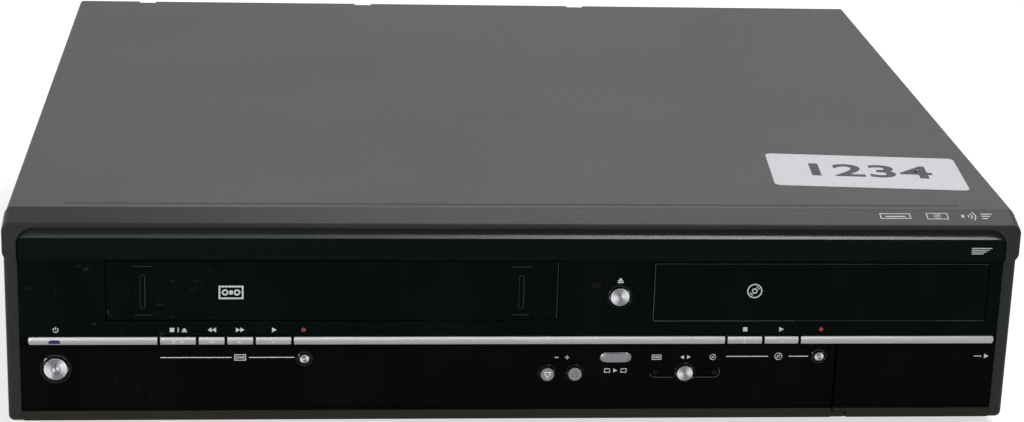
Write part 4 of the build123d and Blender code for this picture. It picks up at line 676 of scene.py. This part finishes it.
def bar_skin(build, x0, x1, back, round_left, round_right, trim=0.0):
    """One bar of the line with a curved face. Rounded ends draw in over half of its height."""
    half = LINE_H / 2 - trim
    heights = [half * sin(pi / 2 * i / 8) for i in range(-8, 9)]

    def ring(x, share):
        face = [(x, bar_y(LINE_Z + h) + (1 - share) * 1.2, LINE_Z + h * share) for h in heights]
        return face + [(x, back, LINE_Z + half * share), (x, back, LINE_Z - half * share)]

    def end(x, step, rounded):
        if rounded:
            return [ring(x + step * half * 0.6 * (1 - cos(a)), 0.5 + 0.5 * sin(a))
                    for a in (0.0, 0.3, 0.6, 0.9, 1.2, pi / 2)]
        return [ring(x, 0.93), ring(x + step * 0.1, 0.985), ring(x + step * 0.3, 1.0)]

    loops(build, end(x0, 1, round_left) + end(x1, -1, round_right)[::-1])


build = bmesh.new()
for x0, x1, left, right in BAR_SPANS:
    bar_skin(build, x0, x1, LINE_BACK, left, right)
make("plated_bars", build, SATIN_CHROME, "case", "silver_plating", ("silver_trim_bars",), 30)
for node in LINE_CAPS:
    low, high = span(node)
    build = bmesh.new()
    bar_skin(build, low.x, high.x, KEY_BACK + 0.02, False, False, 0.05)
    add_rear(build, node, KEY_BACK)
    make(node.replace("button", "cap"), build, SATIN_CHROME, node.replace("button", "key"),
         "silver_plating", (node,), 30)

WINDOW_BACK = NOSE_Y + 0.4    # the blue window in the left bar
WINDOW_THICKNESS = 0.38
WINDOW_CORNERS = [(-199.1, 41.9), (-194.4, 41.9), (-194.1, 42.6), (-194.9, 43.5), (-198.4, 43.5),
                  (-199.3, 42.6)]
signs("standby_window", [WINDOW_CORNERS], on_plane(WINDOW_BACK), BLUE_WINDOW, "case", "blue_lens",
      WINDOW_THICKNESS)


# ---------- round buttons
def middle_of(node):
    """The middle of a node as seen from the front."""
    low, high = span(node)
    return (low.x + high.x) / 2, (low.z + high.z) / 2


def round_cap(node, diameter, ring):
    """A cap with a rolled edge, and the polished ring round its recess. Returns the cap's place."""
    x, z = middle_of(node)
    panel = UPPER_Y if z > UPPER_ROW_Z else LOWER_Y
    channel = node.startswith("channel")
    face = panel - (CHANNEL_PROUD if channel else CAP_PROUD)
    radius = diameter / 2
    profile = [(0.05, face + 0.10), (radius * 0.5, face + 0.08), (radius - 0.7, face + 0.04),
               (radius - 0.45, face), (radius - 0.2, face + 0.08), (radius - 0.04, face + 0.32),
               (radius, face + 0.6), (radius, panel + 0.8)]
    turned_cap(node, x, z, profile, CHANNEL_METAL if channel else SPUN)
    hole = radius + 0.35
    outer = ring / 2 + 0.02 * ring
    top = panel - RING_PROUD
    rim = [(hole, panel + 0.9), (hole + 0.05, panel), (hole + 0.15, top + 0.1), (hole + 0.3, top),
           (hole + 0.45, top + 0.04), (outer - 0.15, panel - 0.04), (outer, panel + 0.05),
           (outer - 0.2, panel + 0.9)]
    build = bmesh.new()
    loops(build, hoops(x, z, rim, RING_SIDES), joined=True)
    make(node.replace("button", "ring"), build, RING_BLACK, "case", "gloss_black", hard=40)
    return x, z, face


CAP_PLACES = {node: round_cap(node, *sizes) for node, sizes in ROUND_CAPS.items()}
CAP_SIGNS = {
    "power_button": arc(0, -0.2, 1.9, 0.4, 125, 415, 28) + rectangle(0, 1.2, 0.4, 2.6),
    "channel_down_button": triangle_line(0, 0.2, 1.7, 0.34, 3),
    "channel_up_button": triangle_line(0, -0.2, 1.7, 0.2, 1),
    "select_button": arc(0, 0, 0.7, 0.35, steps=10),
    "open_close_button": triangle_line(0, 0.1, 0.9, 0.3, 1),
    "tape_record_button": arc(0, 0, 0.75, 0.25, steps=10),
    "disc_record_button": arc(0, 0, 0.75, 0.25, steps=10),
}
for node, shapes in CAP_SIGNS.items():
    x, z, face = CAP_PLACES[node]
    # the raised signs are the caps' own metal: the dark sign_shade colour on them is painted shade
    material = SIGN_LIGHT if node == "channel_down_button" else SIGN_SHADE
    signs(node.replace("button", "sign"), moved(shapes, x, z), on_plane(face + CAP_DENT), material,
          node.replace("button", "key"), "spun_silver", EMBOSS)


# ---------- dubbing button
def pill(width, height, steps=14):
    """Points of a slot outline about the origin."""
    radius = height / 2
    points = []
    for side, start in ((1, -90), (-1, 90)):
        for i in range(steps + 1):
            a = radians(start + 180 * i / steps)
            points.append((side * (width / 2 - radius) + radius * cos(a), radius * sin(a)))
    return points


def dubbing_cap():
    """A slot-shaped cap whose ends have a long chamfer."""
    x, z = middle_of("dubbing_button")
    width, height, depth = 13.6, 4.6, 4.0
    face = LOWER_Y - CAP_PROUD
    # width and height taken off, and the place behind the face
    steps = ((3.4, 0.9, 0.0), (3.0, 0.6, 0.02), (0.5, 0.25, 0.5), (0.1, 0.06, 0.62), (0.0, 0.0, 0.8),
             (0.0, 0.0, depth))
    build = bmesh.new()
    loops(build, [[(x + a * (width - off_x) / width, face + behind, z + b * (height - off_z) / height)
                   for a, b in pill(width, height)] for off_x, off_z, behind in steps])
    add_rear(build, "dubbing_button", face + depth)
    make("dubbing_cap", build, CHANNEL_METAL, "dubbing_key", "spun_silver", ("dubbing_button",), 25)


dubbing_cap()

# ---------- printed signs
LABEL_Z = 47.6                # row of signs above the line
RULE_Z = 35.0                 # the ruled captions under the line
GROOVE_LABEL_Z = 34.7         # signs over the channel buttons and the select groove
DUBBING_SIGN_Z = 28.5
DOOR_SIGN_Z = 34.9
HOOD_ROW = 6.9                # up the slope from the nose

panel_signs = (
    arc(-196.2, LABEL_Z, 1.05, 0.34, 120, 420, 20)          # power
    + rectangle(-196.2, LABEL_Z + 0.75, 0.34, 1.3)
    + rectangle(-147.3, LABEL_Z, 1.9, 1.9) + rule(-144.9, -144.5, LABEL_Z, 2.4)         # tape stop
    + eject_sign(-142.1, LABEL_Z, 2.2)
    + double_arrow(-130.5, LABEL_Z, 2.2, 2) + double_arrow(-118.5, LABEL_Z, 2.2, 0)     # winding
    + triangle(-104.0, LABEL_Z, 2.0, 2.2, 0)                # tape play
    + rectangle(99.5, LABEL_Z, 1.9, 1.9) + triangle(115.5, LABEL_Z, 2.0, 2.2, 0)        # disc
    + eject_sign(44.0, 70.3, 2.6))                          # drawer
record_signs = dot(-91.6, LABEL_Z, 0.95) + dot(133.0, LABEL_Z, 0.95)
lower_signs = (
    rule(-152.3, -122.2, RULE_Z) + rule(-114.8, -95.5, RULE_Z) + cassette_sign(-118.5, RULE_Z, 5.0)
    + rule(91.8, 110.3, RULE_Z) + rule(119.5, 128.1, RULE_Z) + disc_sign(114.9, RULE_Z, 1.7)
    + rectangle(17.6, GROOVE_LABEL_Z, 1.8, 0.4) + rectangle(22.2, GROOVE_LABEL_Z, 1.8, 0.4)   # channel
    + rectangle(22.2, GROOVE_LABEL_Z, 0.4, 1.8)
    + frame_of(39.9, DUBBING_SIGN_Z, 2.6, 2.0, 0.32) + triangle(43.5, DUBBING_SIGN_Z, 1.8, 1.8, 0)
    + frame_of(47.1, DUBBING_SIGN_Z, 2.6, 2.0, 0.32)
    + cassette_sign(61.3, GROOVE_LABEL_Z, 4.2) + disc_sign(86.0, GROOVE_LABEL_Z, 1.4)   # select
    + triangle(72.5, GROOVE_LABEL_Z, 1.6, 1.8, 2) + triangle(75.5, GROOVE_LABEL_Z, 1.6, 1.8, 0))
door_sign = triangle(207.6, DOOR_SIGN_Z, 2.0, 2.2, 0) + rule(202.0, 205.4, DOOR_SIGN_Z)
band_signs = []
for row in range(4):
    band_signs += rule(196.5, 205.5 - 1.2 * row, 85.4 - 0.85 * row, 0.36)

hood_signs = frame_of(163.0, HOOD_ROW, 13.5, 4.0, 0.5) + rule(158.6, 167.4, HOOD_ROW - 0.3, 0.8)
hood_signs += frame_of(181.5, HOOD_ROW, 9.5, 4.6, 0.45) + disc_sign(181.5, HOOD_ROW, 1.6)
for wave in range(3):
    hood_signs += arc(194.0, HOOD_ROW, 1.4 + 1.5 * wave, 0.5, -42, 42, 8)
    hood_signs += rule(201.0, 206.0 - 1.2 * wave, HOOD_ROW + 1.6 - 1.6 * wave, 0.6)
hood_signs += rectangle(192.8, HOOD_ROW, 1.2, 2.0)

for name, shapes, surface, material, body in (
        ("panel_signs", panel_signs, on_plane(UPPER_Y), SILVER_INK, "case"),
        ("record_signs", record_signs, on_plane(UPPER_Y), RED_INK, "case"),
        ("lower_signs", lower_signs, on_plane(LOWER_Y), SILVER_INK, "case"),
        ("door_sign", door_sign, on_plane(LOWER_Y), SILVER_INK, "door"),
        ("flap_sign", cassette_sign(-122.3, 64.6, 10.5), on_plane(FLAP_Y), SILVER_INK, "flap"),
        ("drawer_sign", disc_sign(102.6, 65.4, 3.3), on_plane(DRAWER_Y), SILVER_INK, "disc_drawer"),
        ("band_signs", band_signs, on_plane(BAND_Y), SILVER_INK, "case"),
        ("hood_signs", hood_signs, on_hood, SILVER_INK, "case")):
    signs(name, shapes, surface, material, body, "silver_plating")

# ---------- painted highlights along edges, dimmer where the edge is in shade
FLAP_RECESSES = (-159.5, 1.4)             # middles of the two finger recesses of the flap
RECESS_FOOT, RECESS_HEAD = 54.4, 76.3
RIB_FOOT, RIB_HEAD = 58.3, 71.4           # middles of the round ends of the rib in each recess
RIB_RADIUS = 1.0
FLAP_END_X = 16.95
GROOVE_Z = 27.55              # the groove of the select button, and the radius of its ends
GROOVE_RADIUS = 2.3

edges = []
for x in FLAP_RECESSES:
    edges += arc(x, RIB_HEAD, RIB_RADIUS, 0.2, 0, 180, 10)
    edges += arc(x, RIB_FOOT, RIB_RADIUS, 0.2, 180, 360, 10)
    for side, thick in ((-RIB_RADIUS, 0.18), (RIB_RADIUS, 0.3)):
        edges += rectangle(x + side, (RIB_FOOT + RIB_HEAD) / 2, thick, RIB_HEAD - RIB_FOOT)
    edges += rule(x - 4.2, x + 4.2, RECESS_HEAD, 0.28) + rule(x - 3.4, x + 3.4, RECESS_FOOT, 0.28)
edges += rectangle(FLAP_END_X, 65.5, 0.24, 25.6)

groove = rule(60.6, 69.2, GROOVE_Z - GROOVE_RADIUS, 0.28)
groove += rule(78.8, 87.2, GROOVE_Z - GROOVE_RADIUS, 0.28)
groove += arc(86.95, GROOVE_Z, GROOVE_RADIUS, 0.3, -80, 45, 10)
groove += arc(60.9, GROOVE_Z, GROOVE_RADIUS, 0.22, 200, 258, 6)

low, high = span("tray_front")
lit_from, lit_to = low.x + 62.0, high.x - 22.0    # the drawer's foot is in shade between these
lit = rectangle(low.x + 0.25, (low.z + high.z) / 2, 0.26, high.z - low.z - 0.6)
lit += rule(low.x + 0.5, lit_from, low.z + 0.2, 0.26) + rule(lit_to, high.x - 0.4, low.z + 0.2, 0.22)
dim = rule(lit_from, lit_to, low.z + 0.2, 0.22)
dim += rule(low.x + 0.5, high.x - 0.5, high.z - 0.2, 0.18)

for name, shapes, y, material, body in (
        ("flap_edges", edges, FLAP_Y, PAINTED_EDGE_DIM, "flap"),
        ("groove_edge", groove, LOWER_Y, PAINTED_EDGE_GLEAM, "case"),
        ("drawer_edges", lit, DRAWER_Y, PAINTED_EDGE_GLEAM, "disc_drawer"),
        ("drawer_shade", dim, DRAWER_Y, PAINTED_EDGE_DIM, "disc_drawer")):
    signs(name, shapes, on_plane(y), material, body, "gloss_black")

# ---------- signs on the buttons of the line
LINE_SIGN_Z = LINE_Z - 0.35
LINE_SIGNS = {
    "tape_stop_eject_button": rectangle(-1.8, 0, 1.1, 1.1) + triangle(1.8, 0.1, 0.8, 1.3, 1),
    "tape_rewind_button": double_arrow(0, 0, 1.2, 2),
    "tape_fast_forward_button": double_arrow(0, 0, 1.2, 0),
    "tape_play_button": triangle(0, 0, 1.4, 1.2, 0),
    "disc_stop_button": rectangle(0, 0, 1.1, 1.1),
    "disc_play_button": triangle(0, 0, 1.4, 1.2, 0),
}
for node, shapes in LINE_SIGNS.items():
    signs(node.replace("button", "sign"), moved(shapes, middle_of(node)[0], LINE_SIGN_Z), on_line,
          SIGN_LIGHT, node.replace("button", "key"), "silver_plating")


# ---------- digits on the stock label
def label_digits():
    """The stock label, and four plain digits printed on it, turned with it."""
    low, high = span("stock_label")
    build = merged("stock_label")
    for vert in build.verts:
        vert.co.z = min(vert.co.z, (high.z - INK) * MM)
    make("paper_label", build, PAPER, "case", "label_paper", ("stock_label",))
    curve = bpy.data.curves.new("label_digits", "FONT")
    curve.body = "1234"
    curve.size = 25.0 * MM
    curve.align_x = curve.align_y = "CENTER"
    curve.offset = 0.6 * MM
    curve.extrude = INK * MM
    curve.space_character = 1.06
    mesh = flattened(linked("label_digits_draft", curve), "label_digits")
    middle = (low + high) / 2
    turn = Matrix.Rotation(radians(-4.6), 4, "Z")
    wide = Matrix.Diagonal((1.16, 0.95, 1.0, 1.0))
    mesh.transform(Matrix.Translation(Vector((middle.x, middle.y, high.z - INK)) * MM) @ turn @ wide)
    place("label_digits", mesh, LABEL_INK, "case", "label_paper")


label_digits()


# ---------- repeated pieces by geometry nodes
def node_piece(name, tree, points, aim, sizes, material, slot, replaced=()):
    """Runs a geometry-node tree on points with an aim, and keeps the result as a plain mesh.

    Each point has its own aim where a list of them is given.
    """
    mesh = bpy.data.meshes.new(name + "_points")
    mesh.from_pydata([Vector(point) * MM for point in points], [], [])
    aims = mesh.attributes.new("aim", "FLOAT_VECTOR", "POINT")
    for item, heading in zip(aims.data, aim if isinstance(aim, list) else [aim] * len(points)):
        item.vector = heading
    draft = linked(name + "_draft", mesh)
    modifier = draft.modifiers.new(name, "NODES")
    modifier.node_group = tree
    for socket in tree.interface.items_tree:
        if socket.name in sizes:
            modifier[socket.identifier] = sizes[socket.name]
        elif socket.name == "Finish":
            modifier[socket.identifier] = material
    final = flattened(draft, name)
    smooth(final, 35)
    place(name, final, None, "case", slot, replaced)


def instanced_tree(name, size_names, shape):
    """A tree that puts one shape on every point, turned to the point's aim."""
    tree = bpy.data.node_groups.new(name, "GeometryNodeTree")
    kinds = {"Points": "Geometry", **dict.fromkeys(size_names, "Float"), "Finish": "Material"}
    for label, kind in kinds.items():
        tree.interface.new_socket(label, in_out="INPUT", socket_type="NodeSocket" + kind)
    tree.interface.new_socket("Pieces", in_out="OUTPUT", socket_type="NodeSocketGeometry")
    entry = add(tree, "NodeGroupInput").outputs
    aim = add(tree, "GeometryNodeInputNamedAttribute", {"Name": "aim"}, data_type="FLOAT_VECTOR")
    turn = add(tree, "FunctionNodeAlignRotationToVector", {"Vector": aim}, axis="Z")
    spots = add(tree, "GeometryNodeInstanceOnPoints", {
        "Points": entry["Points"], "Instance": shape(tree, entry), "Rotation": turn})
    real = add(tree, "GeometryNodeRealizeInstances", {0: spots})
    painted = add(tree, "GeometryNodeSetMaterial", {"Geometry": real, "Material": entry["Finish"]})
    add(tree, "NodeGroupOutput", {"Pieces": painted})
    return tree


def screw_shape(tree, entry):
    """A pan head with a cross recess, and its own shank behind it."""
    dome = add(tree, "GeometryNodeMeshCone", {
        "Vertices": 32, "Side Segments": 1, "Radius Top": entry["Crown Radius"],
        "Radius Bottom": entry["Head Radius"], "Depth": entry["Head Height"]})
    cross = add(tree, "GeometryNodeJoinGeometry")
    for length, width in (("Slot Length", "Slot Width"), ("Slot Width", "Slot Length")):
        size = add(tree, "ShaderNodeCombineXYZ", {
            "X": entry[length], "Y": entry[width], "Z": entry["Slot Depth"]})
        feed(cross, 0, add(tree, "GeometryNodeMeshCube", {"Size": size}))
    lift = add(tree, "ShaderNodeCombineXYZ", {"Z": entry["Head Height"]})
    recess = add(tree, "GeometryNodeTransform", {"Geometry": cross, "Translation": lift})
    head = add(tree, "GeometryNodeMeshBoolean", {0: dome, 1: recess}, operation="DIFFERENCE")
    shank = add(tree, "GeometryNodeMeshCylinder", {
        "Vertices": 20, "Radius": entry["Shank Radius"], "Depth": entry["Shank Length"]})
    middle = add(tree, "ShaderNodeMath", {0: entry["Shank Length"], 1: -0.5}, operation="MULTIPLY")
    down = add(tree, "ShaderNodeCombineXYZ", {"Z": middle})
    sunk = add(tree, "GeometryNodeTransform", {"Geometry": shank, "Translation": down})
    whole = add(tree, "GeometryNodeJoinGeometry", {0: head})
    feed(whole, 0, sunk)
    return whole


def collar_shape(tree, entry):
    """A turned collar: a tube with a rounded mouth."""
    path = add(tree, "GeometryNodeCurvePrimitiveCircle", {"Resolution": 40, "Radius": entry["Radius"]})
    wall = add(tree, "GeometryNodeCurvePrimitiveCircle", {"Resolution": 12, "Radius": entry["Wall"]})
    tube = add(tree, "GeometryNodeCurveToMesh", {"Curve": path, "Profile Curve": wall})
    stretch = add(tree, "ShaderNodeCombineXYZ", {"X": 1.0, "Y": 1.0, "Z": entry["Stretch"]})
    return add(tree, "GeometryNodeTransform", {"Geometry": tube, "Scale": stretch})


def rib_shape(tree, entry):
    """A ring of upright ribs round a foot."""
    ring = add(tree, "GeometryNodeCurvePrimitiveCircle", {
        "Resolution": 30, "Radius": entry["Ring Radius"]})
    size = add(tree, "ShaderNodeCombineXYZ", {
        "X": entry["Rib"], "Y": entry["Rib"], "Z": entry["Height"]})
    rib = add(tree, "GeometryNodeMeshCube", {"Size": size})
    tangent = add(tree, "GeometryNodeInputTangent")
    heading = add(tree, "FunctionNodeAlignRotationToVector", {"Vector": tangent}, axis="X")
    return add(tree, "GeometryNodeInstanceOnPoints", {
        "Points": ring, "Instance": rib, "Rotation": heading})


BACKWARDS, FORWARDS, UP, DOWN = (0, 1, 0), (0, -1, 0), (0, 0, 1), (0, 0, -1)
SIDE_SCREWS = [(side, y) for side in (-1, 1) for y in (-110.0, 125.0)]
SIDE_SCREW_Z = 24.0
REAR_SCREW_X = (-195.5, 0.0, 195.5)
REAR_SCREW_Z = 91.5
FOOT_SCREW_Z = 3.9
FOOT_RIB_Z = 5.2
FEET = [(x, y) for x in (-170.0, 170.0) for y in (-135.0, 135.0)]

SCREW_SIZES = {
    "Head Radius": 3.0 * MM, "Crown Radius": 2.1 * MM, "Head Height": 0.85 * MM,
    "Slot Length": 3.2 * MM, "Slot Width": 0.7 * MM, "Slot Depth": 1.1 * MM,
    "Shank Radius": 1.4 * MM, "Shank Length": 5.5 * MM}
RIB_SIZES = {"Ring Radius": 11.35 * MM, "Rib": 0.9 * MM, "Height": 6.4 * MM}
screws = [((side * (COVER_HIGH.x + 0.02), y, SIDE_SCREW_Z), (side, 0, 0)) for side, y in SIDE_SCREWS]
screws += [((x, BACK_Y - 1.0, REAR_SCREW_Z), BACKWARDS) for x in REAR_SCREW_X]
screws += [((x, y, FOOT_SCREW_Z), DOWN) for x, y in FEET]
node_piece("case_screw_heads", instanced_tree("pan_head_screws", SCREW_SIZES, screw_shape),
           [point for point, aim in screws], [aim for point, aim in screws], SCREW_SIZES,
           BLACK_STEEL, "black_screw", ("case_screws",))
node_piece("foot_ribs", instanced_tree("foot_ribs", RIB_SIZES, rib_shape),
           [(x, y, FOOT_RIB_Z) for x, y in FEET], UP, RIB_SIZES, RUBBER, "rubber")

# ---------- sockets on the back and behind the door
SOCKET_END = BACK_Y - 1.0
PHONO_ROWS = (30.0, 48.0)
# colour of each phono socket: its finish, its place on the back, its place behind the door
PHONOS = {"yellow": (YELLOW_PLASTIC, -46.0, 170.0), "white": (WHITE_PLASTIC, -32.0, 182.0),
          "red": (RED_PLASTIC, -18.0, 194.0)}
AERIAL_X = -190.0
AERIAL_ROWS = (30.0, 50.0)
JACK_Y = -164.3               # the sockets behind the door
JACK_Z = 26.45
COLLARS = instanced_tree("turned_collars", ("Radius", "Wall", "Stretch"), collar_shape)
PHONO_SIZES = {"Radius": 2.9 * MM, "Wall": 0.95 * MM, "Stretch": 0.5}

for colour, (material, x, jack_x) in PHONOS.items():
    node_piece(f"rear_phono_{colour}", COLLARS, [(x, SOCKET_END - 0.25, z) for z in PHONO_ROWS],
               BACKWARDS, PHONO_SIZES, material, "white_plastic")
shells = [(x, SOCKET_END - 1.2, z) for material, x, jack_x in PHONOS.values() for z in PHONO_ROWS]
node_piece("rear_phono_shells", COLLARS, shells, BACKWARDS,
           {"Radius": 4.05 * MM, "Wall": 0.3 * MM, "Stretch": 4.0}, NICKEL, "tin_plate")
threads = [(AERIAL_X, SOCKET_END - 0.7 - 0.75 * turn, z) for z in AERIAL_ROWS for turn in range(3)]
node_piece("aerial_threads", COLLARS, threads, BACKWARDS,
           {"Radius": 4.75 * MM, "Wall": 0.3 * MM, "Stretch": 1.0}, NICKEL, "tin_plate")
for colour, (material, x, jack_x) in PHONOS.items():
    node_piece(f"front_phono_{colour}", COLLARS, [(jack_x, JACK_Y + 0.2, JACK_Z)],
               FORWARDS, PHONO_SIZES, material, "white_plastic")

# ---------- camera
CAMERA_PLACE = (-92.98, -1130.86, 435.86)
YAW, PITCH, ROLL = radians(-5.292), radians(17.375), radians(1.936)
FILM_WIDTH = 36.0
LENS = 84.02
SHIFT_X, SHIFT_Y = -0.00065, -0.0767


def aim_camera():
    """The lens that took in the whole front and top from above, a little to the left."""
    right = Vector((cos(YAW), sin(YAW), 0))
    ahead = Vector((-sin(YAW) * cos(PITCH), cos(YAW) * cos(PITCH), -sin(PITCH)))
    up = right.cross(ahead)
    side = cos(ROLL) * right + sin(ROLL) * up
    top = cos(ROLL) * up - sin(ROLL) * right
    data = bpy.data.cameras.new("product_camera")
    data.sensor_width = FILM_WIDTH
    data.lens = LENS
    data.shift_x, data.shift_y = SHIFT_X, SHIFT_Y
    data.clip_end = 50.0
    camera = linked("product_camera", data)
    turn = Matrix((side, top, -ahead)).transposed().to_4x4()
    camera.matrix_world = Matrix.Translation(Vector(CAMERA_PLACE) * MM) @ turn
    bpy.context.scene.camera = camera


aim_camera()

# ---------- floor, world and lamps
FLOOR_WIDTH = 8000
FLOOR_THICKNESS = 5


def seen_directly(tree):
    """1 for rays from the camera, a mirror or glass, 0 for those that light the object."""
    path = add(tree, "ShaderNodeLightPath").outputs
    mirror = add(tree, "ShaderNodeMath", {0: path["Is Camera Ray"], 1: path["Is Glossy Ray"]},
                 operation="MAXIMUM")
    return add(tree, "ShaderNodeMath", {0: mirror, 1: path["Is Transmission Ray"]},
               operation="MAXIMUM")


def studio_floor():
    """Pale matt board that runs out to the horizon, brightened only where it is looked at."""
    build = bmesh.new()
    corners = rectangle(0, 0, FLOOR_WIDTH, FLOOR_WIDTH)[0]
    loops(build, [[(x, y, z) for x, y in corners] for z in (0, -FLOOR_THICKNESS)])
    bmesh.ops.recalc_face_normals(build, faces=build.faces)
    floor = linked("studio_floor", as_mesh("studio_floor", build))
    material, tree, shader = finish("studio_board", "#bcbcbc", 0.9, specular=0.0)
    feed(shader, "Emission Strength",
         add(tree, "ShaderNodeMath", {0: seen_directly(tree), 1: 0.6}, operation="MULTIPLY"))
    feed(shader, "Emission Color", linear("#ffffff"))
    floor.data.materials.append(material)


def studio_world():
    """A white sky, dimmer for the rays that light the object."""
    world = bpy.data.worlds.new("studio")
    bpy.context.scene.world = world
    world.use_nodes = True
    tree = world.node_tree
    tree.nodes.clear()
    strength = add(tree, "ShaderNodeMapRange", {
        "Value": seen_directly(tree), "To Min": 0.5, "To Max": 1.0})
    sky = add(tree, "ShaderNodeBackground", {"Color": linear("#ffffff"), "Strength": strength})
    add(tree, "ShaderNodeOutputWorld", {"Surface": sky})


def lamp(name, spot, target, size, watts):
    """A white softbox at a place, turned to a target, both in millimetres."""
    data = bpy.data.lights.new(name, "AREA")
    data.shape = "RECTANGLE"
    data.size, data.size_y = size[0] * MM, size[1] * MM
    data.energy = watts
    spot, target = Vector(spot) * MM, Vector(target) * MM
    turn = (spot - target).to_track_quat("Z", "Y").to_matrix().to_4x4()
    linked(name, data).matrix_world = Matrix.Translation(spot) @ turn


studio_floor()
studio_world()
lamp("back_right", spot=(420, 950, 1500), target=(0, 0, 80), size=(1250, 600), watts=10.5)
lamp("front_strip", spot=(430, -808, 1400), target=(60, -170, 90), size=(800, 140), watts=11.0)
lamp("front_panel", spot=(-100, -1500, 480), target=(-60, -180, 50), size=(1500, 420), watts=4.2)
lamp("left_glint", spot=(-740, -890, 150), target=(-196, -180, 40), size=(200, 160), watts=4.0)

bpy.context.scene.view_settings.view_transform = "Standard"
